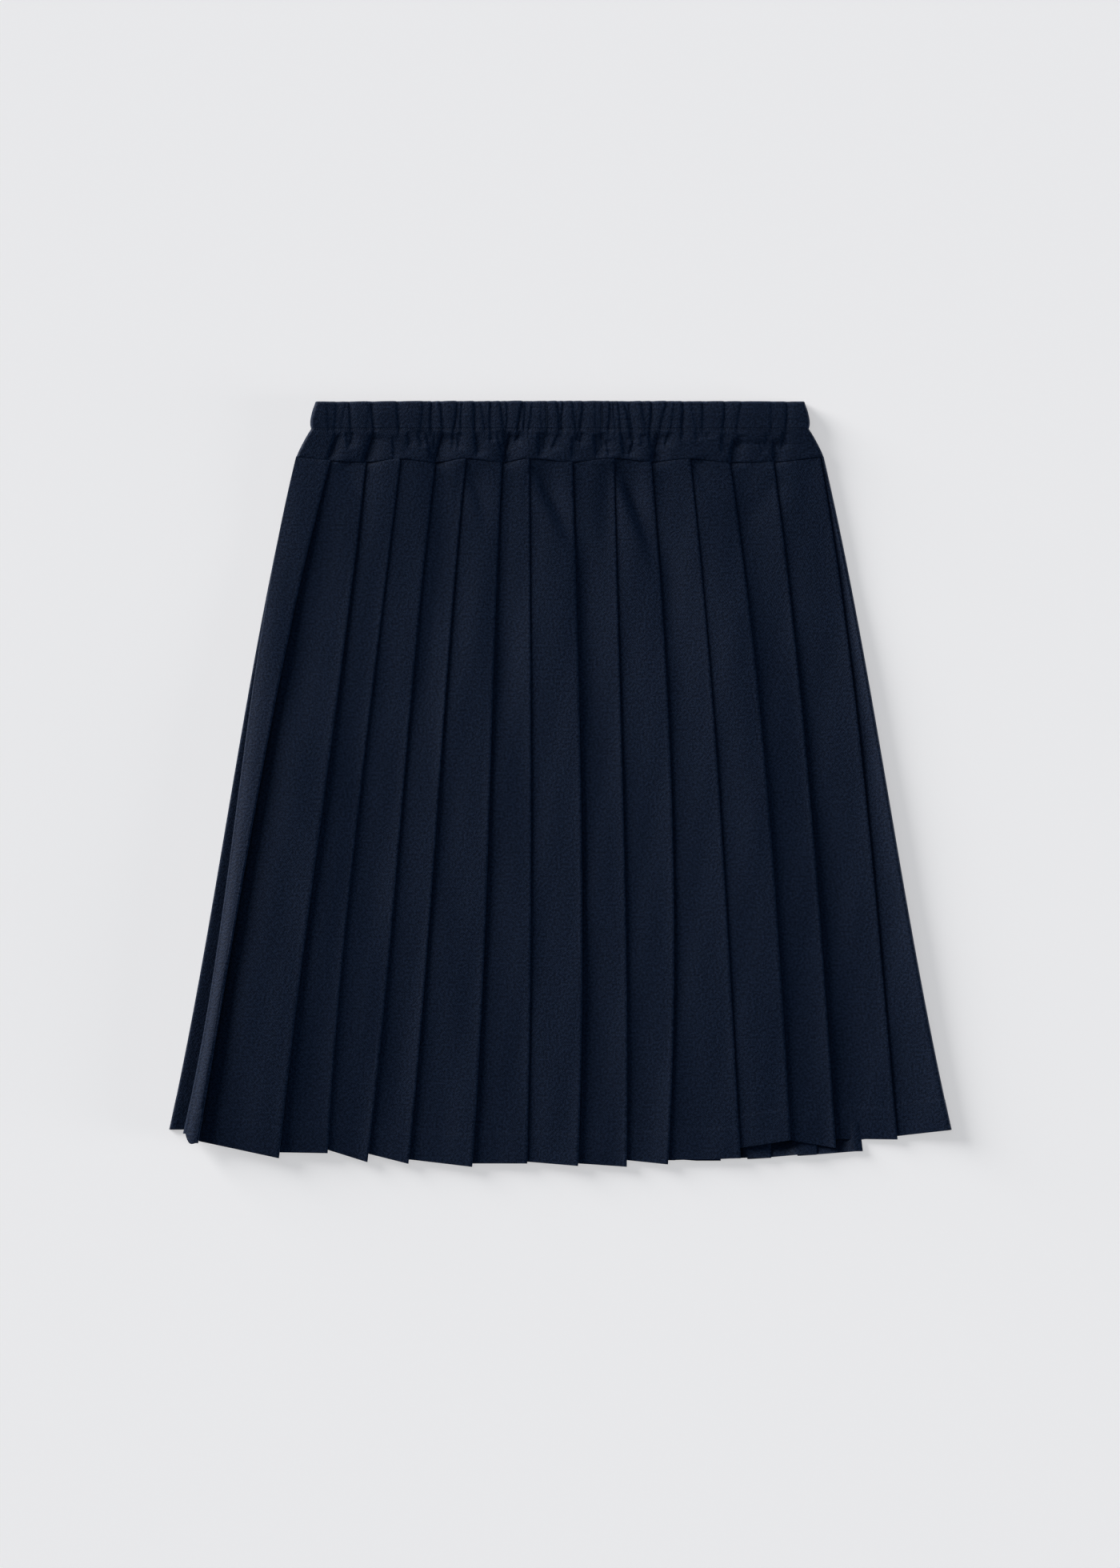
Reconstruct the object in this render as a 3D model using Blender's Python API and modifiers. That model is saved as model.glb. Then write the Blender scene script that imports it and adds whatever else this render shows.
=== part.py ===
"""Knife-pleated skirt with an elastic waist, lying flat on its back panel.

Blender 4.5, metres, +Z up. The garment lies in the XY plane with its waist at +Y, its hem
at -Y and its front panel up. The origin is on the floor under the middle of the garment.
Three sewn pieces: the pleated front panel, the pleated back panel, and the waistband, one
strip folded over the elastic and closed to a ring, with a casing above and a yoke below.
"""

import math
from collections import namedtuple

import bmesh
import bpy

MM = 0.001

# Cloth and its layers, in millimetres
CLOTH = 1.1                 # wall of one layer of twill
PLY = CLOTH + 0.3           # from the middle of one folded layer to the middle of the next
NOSE = PLY / 2              # radius of a pressed fold
SIDE_GAP = 0.3              # between the two panels at their side seams
BAND_GAP = 0.6              # between panels and waistband; the wavy seam closes it to 0.3

# Heights on the flat garment, in millimetres above its middle
TOP_Y = 249.0               # upper edge of the waistband
SEAM_Y = 210.0              # seam between waistband and panels
HEM_Y = -231.0              # nominal hem, to which the fold tables reach
SIDE_RISE = 2.6             # the seam ends this much higher at both sides
SIDE_RISE_FROM = 0.75       # and starts to run up at this share of the half width

# Levels above the floor, in millimetres, of the middle of the cloth
BACK_Z = CLOTH / 2
FRONT_Z = BACK_Z + 2 * PLY + CLOTH + SIDE_GAP
SIDE_SEAM_Z = BACK_Z + CLOTH + SIDE_GAP

# Pleats, in millimetres
PLEAT_CLOTH = 62.0          # cloth that one pleat takes across: its face and twice its underlay
LEAST_UNDERLAY = 4.0
UNDERLAY_SHARE = 0.6        # of the face above it, at most
LEAD = 0.8                  # the next face leaves the fold this far beyond its edge
FACE_CLEAR = 1.0            # a face is at full height this far before the fold below it
OPEN_FOLD = 0.7             # share of a fold's lift that its underlay takes part in
BACK_RAMP = 7.0             # a back face comes down to the floor over this width
RAMP_LEVEL = 1.1            # level of a front face halfway up its ramp
LAST_FACE_LEVEL = -0.6      # the last face sinks towards the side seam beyond the folds

# The front stands away from the back near the gathered seam, its layers puff up there and
# its faces come up sharply, and all of it fades further down
SEAM_LOFT = 1.6
SEAM_PUFF = 0.25            # added share of the space between layers
SEAM_RAMP = 2.6             # a face comes up from under the fold over this width
SEAM_RAMP_LEVEL = 1.7
CREST_REACH = 0.2           # share of the panel's length over which this fades
ROWS = (0.0, 0.04, 0.1, 0.2, 0.4, 0.6, 0.8, 1.0)

# One row a fold. seam, upper, lower, hem: place of the folded edge at the seam, a third and
# two thirds of the way down, and at the hem. tip: height of the hem at the folded edge.
# tuck: the same where the next face comes out from under it. crest: how far the fold stands
# up (or sinks) at the seam. lift: how far its edge stands off at the hem.
Line = namedtuple("Line", "seam upper lower hem")
Fold = namedtuple("Fold", "seam upper lower hem tip tuck crest lift")
FRONT_FOLDS = (
    Fold(-151.3, -182.5, -209.0, -235.6, -233.0, -231.9, -0.6, 3.6),
    Fold(-127.4, -143.0, -161.7, -181.5, -242.8, -239.2, -1.0, 1.6),
    Fold(-105.0, -121.7, -137.8, -150.3, -239.7, -237.6, 1.2, 1.2),
    Fold(-81.6, -95.7, -107.6, -122.7, -245.4, -240.2, -1.0, 1.0),
    Fold(-62.4, -73.3, -83.7, -97.2, -246.5, -243.9, 1.4, 1.2),
    Fold(-37.4, -43.2, -47.3, -54.1, -248.6, -246.5, -1.0, 1.0),
    Fold(-18.7, -18.7, -18.2, -20.3, -246.5, -245.4, 1.4, 0.6),
    Fold(8.3, 12.5, 15.3, 13.0, -248.0, -246.5, -0.8, 0.8),
    Fold(34.8, 39.5, 43.7, 44.2, -248.6, -244.4, 1.6, 0.8),
    Fold(59.8, 70.7, 75.4, 71.2, -247.0, -244.4, -0.7, 1.0),
    Fold(85.3, 98.8, 109.2, 117.5, -243.1, -236.3, 1.2, 0.6),
    Fold(110.2, 129.0, 141.4, 150.8, -231.4, -231.4, -1.0, 0.6),
    Fold(139.9, 157.0, 169.5, 179.9, -236.3, -230.6, -1.0, 0.8),
    Fold(168.5, 191.4, 208.0, 218.9, -230.9, -228.8, 0.0, 0.6),
)

# The back's folds turn the other way and lie flat. They run from right to left, and tuck is
# the height of the hem at the inner fold.
BackFold = namedtuple("BackFold", "seam upper lower hem tip tuck")
BACK_FOLDS = (
    BackFold(137.0, 153.0, 168.0, 182.0, -231.5, -239.2),
    BackFold(115.0, 130.0, 143.5, 154.0, -240.5, -241.5),
    BackFold(93.0, 103.0, 113.0, 121.5, -242.5, -244.3),
    BackFold(69.5, 76.5, 83.5, 89.0, -242.8, -244.6),
    BackFold(47.0, 52.0, 56.5, 59.5, -243.0, -244.5),
    BackFold(24.0, 25.0, 26.0, 27.0, -242.0, -243.5),
    BackFold(1.5, -1.0, -3.5, -6.0, -241.5, -243.0),
    BackFold(-21.5, -27.5, -33.5, -38.5, -240.5, -242.0),
    BackFold(-44.5, -54.0, -62.5, -71.0, -239.0, -240.5),
    BackFold(-67.0, -80.0, -92.5, -103.5, -236.5, -238.5),
    BackFold(-90.5, -107.0, -122.0, -136.5, -234.0, -236.0),
    BackFold(-112.5, -133.0, -151.5, -168.0, -231.5, -233.0),
    BackFold(-134.0, -158.0, -180.0, -200.5, -229.0, -231.0),
)

# Both sides of the garment, and the rolled first pleat of the front that lies on the left one
LEFT_SIDE = Line(-171.1, -201.2, -226.5, -255.0)
RIGHT_SIDE = Line(171.1, 200.7, 226.2, 255.6)
LEFT_ROLL = Line(-171.1, -200.2, -220.5, -245.4)
SIDE_HEM = -224.6           # height of the hem at both sides
ROLL_TIP = -227.0           # height of the hem at the roll's left edge
ROLL_BOTTOM = -234.5        # and at its lowest point
ROLL_UNDER = 0.3            # share of the roll's width that turns under it
ROLL_BULGE = 0.45           # share of the roll's width, and of its lift, at its lowest point

# One row a level of the waistband, from its top down. y: height. side: half width. floor:
# height of the back wall above the floor. back: its thickness. inside: height of the front
# wall's inner face. wall: its thickness. gather, crest: shares of gathers and seam crests.
BandRow = namedtuple("BandRow", "y side floor back inside wall gather crest")
BAND = (
    BandRow(TOP_Y, 157.6, 0.8, 1.2, 4.2, 1.2, 0.5, 0.0),
    BandRow(247.8, 158.8, 0.0, 2.8, 3.6, 2.6, 0.8, 0.0),
    BandRow(241.0, 161.4, 0.0, 3.0, 3.6, 3.0, 1.0, 0.0),
    BandRow(233.0, 162.2, 0.0, 3.0, 3.6, 2.9, 1.1, 0.0),
    BandRow(230.5, 161.8, 0.0, 2.0, 3.8, 1.9, 0.9, 0.0),
    BandRow(228.0, 163.2, 0.0, 1.5, 4.2, 1.8, 1.1, 0.1),
    BandRow(219.5, 167.6, 0.0, 1.5, 5.4, 1.6, 0.6, 0.4),
    BandRow(SEAM_Y, 171.1, 0.0, 1.5, 6.6, 1.5, 0.1, 1.0),
)
GATHERS = 45
GATHER_DEPTH = 1.3
GATHER_TAPER = 8            # the gathers die out over an eighth of the width at both sides
BAND_BACK_COLUMNS = 24
NOSE_ANGLES = (45.0, 0.0, -45.0)


def along(line, y):
    """Place of a line at height y: the smooth curve through its four values."""
    v = (SEAM_Y - y) / (SEAM_Y - HEM_Y)
    return (-4.5 * (v - 1 / 3) * (v - 2 / 3) * (v - 1) * line.seam
            + 13.5 * v * (v - 2 / 3) * (v - 1) * line.upper
            - 13.5 * v * (v - 1 / 3) * (v - 1) * line.lower
            + 4.5 * v * (v - 1 / 3) * (v - 2 / 3) * line.hem)


def ease(t):
    return 0.5 - 0.5 * math.cos(math.pi * min(max(t, 0.0), 1.0))


def mix(a, b, share):
    return a + (b - a) * share


def crest_at(x, y=SEAM_Y):
    """Crest or hollow of the front, which runs straight from one fold to the next."""
    knots = [(along(LEFT_SIDE, y), 0.0)]
    knots += [(along(fold, y), fold.crest) for fold in FRONT_FOLDS]
    knots += [(along(RIGHT_SIDE, y), 0.0)]
    for (x0, crest0), (x1, crest1) in zip(knots, knots[1:]):
        if x <= x1:
            return mix(crest0, crest1, max(x - x0, 0.0) / (x1 - x0))
    return 0.0


def seam_rise(x):
    """The seam runs up over each crest, down into each hollow, and up to both sides."""
    near_side = (abs(x) / RIGHT_SIDE.seam - SIDE_RISE_FROM) / (1 - SIDE_RISE_FROM)
    return crest_at(x) + SIDE_RISE * min(max(near_side, 0.0), 1.0) ** 2


def fade(v):
    """Share of the seam's crests and puff that is left at this depth."""
    return max(0.0, 1 - v / CREST_REACH) ** 2


def underlay(face):
    """Width that a pleat turns under a face of this width."""
    return min(max((PLEAT_CLOTH - face) / 2, LEAST_UNDERLAY), UNDERLAY_SHARE * face)


def height_at(hem, v):
    """Height of a row at depth v, from 0 at the seam to 1 at this hem."""
    return mix(SEAM_Y, hem, v)


def folded_edge(fold, edge, under, v):
    """Points (x, y, level, lift) over a front fold's edge and round the fold beneath it."""
    tip_y = height_at(fold.tip, v)
    lift = fold.lift * v * (2 - v)
    inner_y = height_at(fold.tuck, v)
    inner = along(fold, inner_y) - under
    return [
        (edge - NOSE, tip_y, 2.0, lift),
        (edge, tip_y, 1.5, lift * (1 + OPEN_FOLD) / 2),
        (edge - NOSE, tip_y, 1.0, lift * OPEN_FOLD),
        (inner + NOSE, inner_y, 1.0, 0.0),
        (inner, inner_y, 0.5, 0.0),
        (inner + NOSE, inner_y, 0.0, 0.0),
    ]


def rolled_side(v):
    """Points of the first pleat, which rolls over the left edge."""
    fold = FRONT_FOLDS[0]
    tuck_y = height_at(ROLL_TIP, v)
    tip_y = height_at(fold.tip, v)
    start = along(LEFT_ROLL, tuck_y)
    edge = along(fold, tip_y)
    face = edge - along(LEFT_ROLL, tip_y)
    bulge_lift = ROLL_BULGE * fold.lift * v * (2 - v)
    return [
        (start + ROLL_UNDER * face, tuck_y, 0.0, 0.0),
        (start + NOSE, tuck_y, 0.0, 0.0),
        (start, tuck_y, 0.5, 0.0),
        (start + NOSE, tuck_y, 1.0, 0.0),
        (start + ROLL_BULGE * face, height_at(ROLL_BOTTOM, v), 2.0, bulge_lift),
    ] + folded_edge(fold, edge, underlay(face), v)


def front_pleat(before, fold, v):
    """Points of one pleat: its face comes out from under the fold before it."""
    tuck_y = height_at(before.tuck, v)
    tip_y = height_at(fold.tip, v)
    start = along(before, tuck_y)
    edge = along(fold, tip_y)
    face = edge - along(before, tip_y)
    under = underlay(face)
    away = ease(v / CREST_REACH)
    ramp = mix(SEAM_RAMP, 0.5 * (face - under), away)
    return [
        (start + LEAD, tuck_y, 0.0, 0.0),
        (start + ramp, 0.5 * (tuck_y + tip_y), mix(SEAM_RAMP_LEVEL, RAMP_LEVEL, away), 0.0),
        (edge - under - FACE_CLEAR, tip_y, 2.0, 0.0),
    ] + folded_edge(fold, edge, under, v)


def front_row(v):
    """Points (x, y, z) of one row across the front panel, from left to right."""
    points = rolled_side(v)
    for before, fold in zip(FRONT_FOLDS, FRONT_FOLDS[1:]):
        points += front_pleat(before, fold, v)
    last = FRONT_FOLDS[-1]
    tuck_y = height_at(last.tuck, v)
    side_y = height_at(SIDE_HEM, v)
    start = along(last, tuck_y)
    side = along(RIGHT_SIDE, side_y)
    points.append((start + LEAD, tuck_y, 0.0, 0.0))
    points.append(((start + side) / 2, (tuck_y + side_y) / 2, LAST_FACE_LEVEL, 0.0))
    ply = PLY * (1 + SEAM_PUFF * fade(v))
    row = []
    for x, y, level, lift in points:
        stand = (SEAM_LOFT + crest_at(x, y)) * fade(v)
        row.append((x, y + seam_rise(x) * (1 - v), FRONT_Z + level * ply + stand + lift))
    row.append((side, side_y + SIDE_RISE * (1 - v), SIDE_SEAM_Z))
    return row


def back_pleat(before, fold, v):
    """Points (x, y, level) of one back pleat, whose face lies on the floor."""
    tip_y = height_at(fold.tip, v)
    edge = along(fold, tip_y)
    inner_y = height_at(fold.tuck, v)
    inner = along(fold, inner_y) + underlay(along(before, tip_y) - edge)
    landing = [] if before is RIGHT_SIDE else [(along(before, tip_y) - BACK_RAMP, tip_y, 0.0)]
    return landing + [
        (edge + NOSE, tip_y, 0.0),
        (edge, tip_y, 0.5),
        (edge + NOSE, tip_y, 1.0),
        (inner - NOSE, inner_y, 1.0),
        (inner, inner_y, 1.5),
        (inner - NOSE, inner_y, 2.0),
        (along(fold, inner_y) - LEAD, inner_y, 2.0),
    ]


def back_row(v):
    """Points (x, y, z) of one row across the back panel, from right to left."""
    side_y = height_at(SIDE_HEM, v)
    points = [(along(RIGHT_SIDE, side_y), side_y, 0.0)]
    for before, fold in zip((RIGHT_SIDE,) + BACK_FOLDS, BACK_FOLDS):
        points += back_pleat(before, fold, v)
    roll = along(LEFT_ROLL, side_y)
    roll_face = along(FRONT_FOLDS[0], side_y) - roll
    side = along(LEFT_SIDE, side_y)
    points += [
        (along(BACK_FOLDS[-1], side_y) - BACK_RAMP, side_y, 0.0),
        (side + PLY, side_y, 0.0),
        (side, side_y, 1.0),
        (side + PLY, side_y, 2.0),
        (roll + ROLL_UNDER * roll_face, side_y, 2.0),
    ]
    return [(x, y + SIDE_RISE * (1 - v), BACK_Z + level * PLY) for x, y, level in points]


def below_seam(row, v):
    """The row moved down by half the gap to the waistband, and by nothing at the hem."""
    return [(x, y - BAND_GAP / 2 * (1 - v), z) for x, y, z in row]


def twill(name, colour):
    """Matt cloth of one colour."""
    material = bpy.data.materials.new(name)
    material.use_nodes = True
    shader = material.node_tree.nodes["Principled BSDF"]
    shader.inputs["Base Color"].default_value = (*colour, 1.0)
    shader.inputs["Roughness"].default_value = 0.85
    shader.inputs["Metallic"].default_value = 0.0
    return material


def finish(name, collection, colour, points):
    """Name the primitive in hand, shape it to these points and put it in the collection."""
    piece = bpy.context.object
    piece.name = name
    piece.data.name = name
    piece.data.materials.append(twill(name + "_twill", colour))
    for vertex, point in zip(piece.data.vertices, points, strict=True):
        vertex.co = [MM * value for value in point]
    piece.data.shade_smooth()
    for other in list(piece.users_collection):
        other.objects.unlink(piece)
    collection.objects.link(piece)
    return piece


def panel(name, rows, collection, colour):
    """A pleated panel: a grid laid along its rows, thickened to a wall."""
    across = len(rows[0]) - 1
    bpy.ops.mesh.primitive_grid_add(x_subdivisions=across, y_subdivisions=len(rows) - 1, size=1)
    piece = finish(name, collection, colour, [point for row in rows for point in row])
    wall = piece.modifiers.new("wall", "SOLIDIFY")
    wall.thickness = CLOTH * MM
    wall.offset = 0.0
    wall.use_even_offset = True
    return piece


def gather_columns():
    """Uneven gathers: (place from 0 to 1, height) of each trough and crest across the front."""
    widths = [1 + 0.35 * math.sin(2.3 * k) + 0.25 * math.sin(5.1 * k + 1) for k in range(GATHERS)]
    total = sum(widths)
    columns = []
    start = 0.0
    for k, width in enumerate(widths):
        columns.append((start / total, 0.15 * math.sin(3.7 * k)))
        columns.append(((start + width / 2) / total, 0.8 + 0.2 * math.sin(1.7 * k)))
        start += width
    columns.append((1.0, 0.0))
    return columns


def band_end(row):
    """Half width of the flat stretch of a level, short of its turn from front to back."""
    return row.side - (row.inside + row.wall - row.floor) / 2


def band_front(row, place, gather):
    """Outer and inner point of the front wall at a place from 0 to 1 across it."""
    x = (2 * place - 1) * band_end(row)
    stand = row.crest * (SEAM_LOFT + crest_at(x))
    near_side = ease(GATHER_TAPER * min(place, 1 - place))
    bulge = GATHER_DEPTH * row.gather * gather * near_side
    y = row.y + row.crest * (seam_rise(x) + BAND_GAP / 2)
    return (x, y, row.inside + row.wall + stand + bulge), (x, y, row.inside + stand)


def band_turn(row, angle, side):
    """Outer and inner point where the ring turns from front to back, at one side."""
    stand = row.crest * SEAM_LOFT
    y = row.y + row.crest * (SIDE_RISE + BAND_GAP / 2)
    points = []
    for low, high in ((row.floor, row.inside + row.wall + stand),
                      (row.floor + row.back, row.inside + stand)):
        radius = (high - low) / 2
        x = band_end(row) + radius * math.cos(angle)
        points.append((side * x, y, low + radius * (1 + math.sin(angle))))
    return points


def band_back(row, place):
    """Outer and inner point of the back wall, which lies flat on the floor."""
    x = (1 - 2 * place) * band_end(row)
    y = row.y + row.crest * (SIDE_RISE + BAND_GAP / 2)
    return (x, y, row.floor), (x, y, row.floor + row.back)


def band_sections():
    """Closed sections of the ring's wall, all the way round it."""
    pairs = [[band_front(row, place, gather) for row in BAND] for place, gather in gather_columns()]
    turns = [math.radians(angle) for angle in NOSE_ANGLES]
    pairs += [[band_turn(row, angle, 1) for row in BAND] for angle in turns]
    steps = [step / BAND_BACK_COLUMNS for step in range(BAND_BACK_COLUMNS + 1)]
    pairs += [[band_back(row, place) for row in BAND] for place in steps]
    pairs += [[band_turn(row, angle, -1) for row in BAND] for angle in reversed(turns)]
    return [[outer for outer, inner in level] + [inner for outer, inner in reversed(level)]
            for level in pairs]


def waistband(collection, colour):
    """The ring of casing and yoke: a torus whose turns follow the sections of its wall."""
    sections = band_sections()
    bpy.ops.mesh.primitive_torus_add(major_segments=len(sections), minor_segments=len(sections[0]))
    points = [point for section in sections for point in section]
    piece = finish("waistband", collection, colour, points)
    shell = bmesh.new()
    shell.from_mesh(piece.data)
    bmesh.ops.recalc_face_normals(shell, faces=shell.faces)
    shell.to_mesh(piece.data)
    shell.free()
    return piece


def main():
    for old in list(bpy.data.objects):
        bpy.data.objects.remove(old)
    collection = bpy.data.collections.new("pleated_skirt")
    bpy.context.scene.collection.children.link(collection)
    front_rows = [below_seam(front_row(v), v) for v in ROWS]
    back_rows = [below_seam(back_row(v), v) for v in ROWS]
    panel("skirt_front", front_rows, collection, colour=(0.010, 0.015, 0.030))
    panel("skirt_back", back_rows, collection, colour=(0.009, 0.014, 0.028))
    waistband(collection, colour=(0.010, 0.015, 0.029))


main()
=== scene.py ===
"""Looks of a knife-pleated navy skirt with a gathered elastic waist, lying flat on a pale floor.

The front panel, the back panel and the waistband are thin shells of twill on the forms of
their frame nodes. The stitching is modelled. Lengths in the tables and in the code are in
millimetres, and the meshes are in metres. The garment's waist is at +Y and its front is up.
"""

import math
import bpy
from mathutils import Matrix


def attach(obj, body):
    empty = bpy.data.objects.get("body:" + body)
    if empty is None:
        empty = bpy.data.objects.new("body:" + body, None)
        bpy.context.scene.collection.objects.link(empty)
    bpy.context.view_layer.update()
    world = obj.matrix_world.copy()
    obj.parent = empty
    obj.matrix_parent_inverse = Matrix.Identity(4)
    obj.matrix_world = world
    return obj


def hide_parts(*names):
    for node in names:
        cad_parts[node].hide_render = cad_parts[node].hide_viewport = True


bl_info = {
    "name": "Pleated Skirt",
    "version": (1, 0, 0),
    "blender": (4, 5, 0),
    "location": "View3D > Sidebar > Skirt",
    "description": "Builds a knife-pleated skirt, laid flat, piece by piece",
    "category": "Add Mesh",
}

from collections import namedtuple

import bpy
import numpy as np
from mathutils import Matrix, Vector

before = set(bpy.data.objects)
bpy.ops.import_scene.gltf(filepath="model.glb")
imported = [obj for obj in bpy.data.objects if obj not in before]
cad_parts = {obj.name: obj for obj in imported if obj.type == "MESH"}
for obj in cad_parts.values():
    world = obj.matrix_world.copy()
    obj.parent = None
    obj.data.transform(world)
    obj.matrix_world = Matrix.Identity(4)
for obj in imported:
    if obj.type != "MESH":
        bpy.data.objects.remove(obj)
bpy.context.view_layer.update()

MM = 0.001

# Heights on the flat garment
TOP_Y = 249.0               # upper edge of the waistband
SEAM_Y = 210.0              # seam between waistband and panels
HEM_Y = -231.0              # nominal hem, to which the fold tables reach
PANEL = SEAM_Y - HEM_Y      # length of a panel
SIDE_RISE = 2.6             # the seam ends this much higher at both sides
SIDE_RISE_FROM = 0.75       # and starts to run up at this share of the half width

# Layers, from the middle of one to the middle of the next
PLY = 0.68                  # layers of the front, at a fold
FRONT_BASE = 5.5            # height of the front's lowest layer
BACK_PLY = 0.9              # layers of the back
BACK_BASE = 0.4             # height of the back's lowest layer
SIDE_SEAM_Z = 1.2           # the front ends at this height at the right side seam

# Pleats
PLEAT_CLOTH = 62.0          # cloth that one pleat takes across: its face and twice its underlay
LEAST_UNDERLAY = 4.0        # an underlay is at least this wide
UNDERLAY_SHARE = 0.5        # and at most this share of the face above it
LEAD = 0.5                  # the next face leaves the fold this far beyond its edge
TUCKED = 1.0                # and its cloth starts this far back under it
OPEN_FOLD = 0.7             # share of a fold's lift that its underlay takes part in
FOLD_LIFT = 2.0             # power by which that lift grows towards the hem
EVEN_SWELL = 0.5            # swell of all faces at the seam
CREST_SWELL = 0.2           # and this much more before a crest of one millimetre
SWELL_FROM = 0.3            # depth, as a share of the panel's, from which each has its own
LOW_FROM = 0.5              # depth from which it turns into that of the hem
LOW_TO = 0.95               # and where it has done so
LIP = 0.34                  # a folded edge bulges by this
LIP_WIDTH = 2.8             # over this width
HEM_SAG = 1.9               # the front comes down by this towards the hem
HEM_SAG_FROM = 0.6          # from this share of its length
LEAST_NEST = 0.75           # two layers take up at least this height under a face
SIDE_ROLL = (1.6, 1.4)      # the last face rounds down over this width at the seam and the hem
LAST_RISE = 3.5             # before that, it has risen by this at the hem
LAST_BEND = 2.4             # with this power of the way across it
BACK_RAMP = 7.0             # a back face comes down to the floor over this width
BACK_CROWD = 1.5            # power by which its points lie closer where it comes down
BACK_LAST = 2.0             # the last back face ends this far short of the left side
BACK_END = (1.6, 0.4)       # the back ends this many plies up, at the seam and the hem
HEM_CURL = 2.6              # the back's hem curls up by this where it shows on the right
CURL_TIGHT = 0.35           # its layers lie closer there by this share
CURL_DEPTH = 8.0            # both over this depth
CURL_AT = (158.0, 42.0)     # at this place, over this width to both sides

# Near the gathered seam
SEAM_LOFT = 0.8             # the front stands away from the back
LOFT_REACH = 0.2            # share of the panel's length over which this fades
WAIST_HOLLOW = 1.0          # below it, the front sinks by this
HOLLOW_AT = (0.17, 0.1)     # at this depth, over this share of the length to both sides
CREST_STAND = 0.24          # height of the crests, for each of their millimetres in the table
CREST_REACH = 0.4           # share of the panel's length over which this fades
HOLLOW_LEFT = 0.45          # a sharp hollow is steep over this share of a face on its left
HOLLOW_RIGHT = 1.3          # and rises with this power of the way on its right
TIGHT_SEAM = 0.3            # the layers lie closer by this share at the seam
TIGHT_FOLD = 0.1            # and by this much more under the highest crests
HIGH_CREST = 1.4            # which are those of this height or more
TIGHT_REACH = 0.55          # and open over this share of the panel's length
SEAM_TURN = 1.2             # both sides of the seam turn down over this width
SEAM_SINK = 0.22            # by this much

# Rows of the panels' meshes, by their depth below the seam and their height above the hem
SEAM_ROWS = (0.0, 0.35, 0.8, 1.3, 1.8, 2.6, 3.6)
CREASED_ROWS = (5.0, 64.0, 2.1)     # first depth, end and step, where the creases are fine
LONG_ROWS = (66.0, 26.0, 34)        # first depth, last height and number of rows
HEM_ROWS = (22.0, 20.5, 19.7, 18.9, 17.0, 12.0, 7.0, 3.0, 1.0, 0.3, 0.0)

# Rows of the waistband's mesh
YOKE_ROWS = (0.0, 0.2, 0.5, 0.9, 1.4)               # above the seam
YOKE_RUN = (2.1, 1.6, 0.85)         # from this far above it to this far below the stitches, step
GROOVE_ROWS = (-1.3, -0.9, -0.5, -0.15, 0.15, 0.5, 0.9, 1.3)    # round the casing's stitches
CASING_RUN = (1.9, 0.95)            # from this far above them to the top row, step

# Steps of the meshes
FACE_STEPS = 22             # across a front face
TURN_STEPS = 6              # round its folded edge
INNER_STEPS = 4             # round the fold beneath
UNDER_STEPS = 3             # between these two
ROLL_STEPS = 12             # across the rolled first pleat
ROLL_TURN_STEPS = 10        # and round its left edge
LAST_STEPS = (14, 12)       # across the last front face, and down its side
BACK_FACE_STEPS = 10        # across a back face
BACK_UNDER_STEPS = 2        # along its underlay
BACK_SIDE_STEPS = 8         # across the last back face, and round its side
BAND_STEP = 0.5             # distance between two columns across the waistband's front
BAND_BACK_STEP = 1.1        # and across its back
BAND_GRAIN_ROW = 20         # row along which the waistband's cloth is measured
MEET = 0.000001             # in metres, points this close are one
SMOOTH_ANGLE = 50           # faces that meet at less than this, in degrees, are shaded smooth

Line = namedtuple("Line", "seam upper lower hem")

# One row a fold. seam, upper, lower, hem: place of the folded edge at the seam, a third and
# two thirds of the way down, and at the hem. tip: height of the hem at the folded edge.
# tuck: the same where the next face comes out from under it. crest: how far the fold stands
# up (or sinks) at the seam. lift: how far its edge stands off at the hem. swell, low: share of
# its rise that the face before it takes early, halfway down and at the hem, so that the face
# bulges. With less it is hollow and rises late, and below nothing it dips first.
Fold = namedtuple("Fold", "seam upper lower hem tip tuck crest lift swell low")
FRONT_FOLDS = [Fold(*row) for row in (
    (-149.3, -182.7, -209.5, -234.8, -233.0, -231.9, -0.6, 3.7, 0.50, 0.50),
    (-126.2, -143.8, -163.3, -181.5, -242.8, -239.2, -1.0, 0.8, 0.30, 0.35),
    (-104.0, -121.9, -138.6, -150.8, -239.7, -237.6, 1.2, -0.3, 0.50, -0.2),
    (-81.4, -96.2, -108.8, -123.7, -245.4, -240.2, -1.0, -0.2, 0.25, -0.2),
    (-61.4, -74.1, -84.7, -97.2, -246.5, -243.9, 1.4, 0.1, 0.30, -0.2),
    (-38.0, -43.8, -48.5, -56.1, -248.6, -246.5, -1.0, 0.4, 0.55, 0.45),
    (-20.3, -19.3, -19.2, -21.3, -246.5, -245.4, 1.4, -0.4, 0.60, 0.50),
    (7.7, 11.9, 14.2, 12.0, -248.0, -246.5, -0.8, 0.8, 0.50, 0.55),
    (34.8, 38.7, 42.4, 43.2, -248.6, -244.4, 1.6, -0.1, 0.25, -0.2),
    (58.9, 69.2, 73.9, 70.7, -247.0, -244.4, -0.7, 0.0, 0.45, -0.25),
    (84.1, 98.1, 108.0, 116.3, -243.1, -236.3, 1.2, -0.4, 0.50, 0.50),
    (109.8, 128.0, 140.4, 149.3, -231.4, -231.4, -1.0, 0.3, 0.50, 0.60),
    (138.3, 155.4, 168.3, 178.5, -236.3, -230.6, -1.0, 0.6, 0.05, -0.1),
    (168.5, 190.4, 205.8, 218.9, -230.9, -228.8, 0.0, -0.3, 0.15, -0.25),
)]

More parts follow.
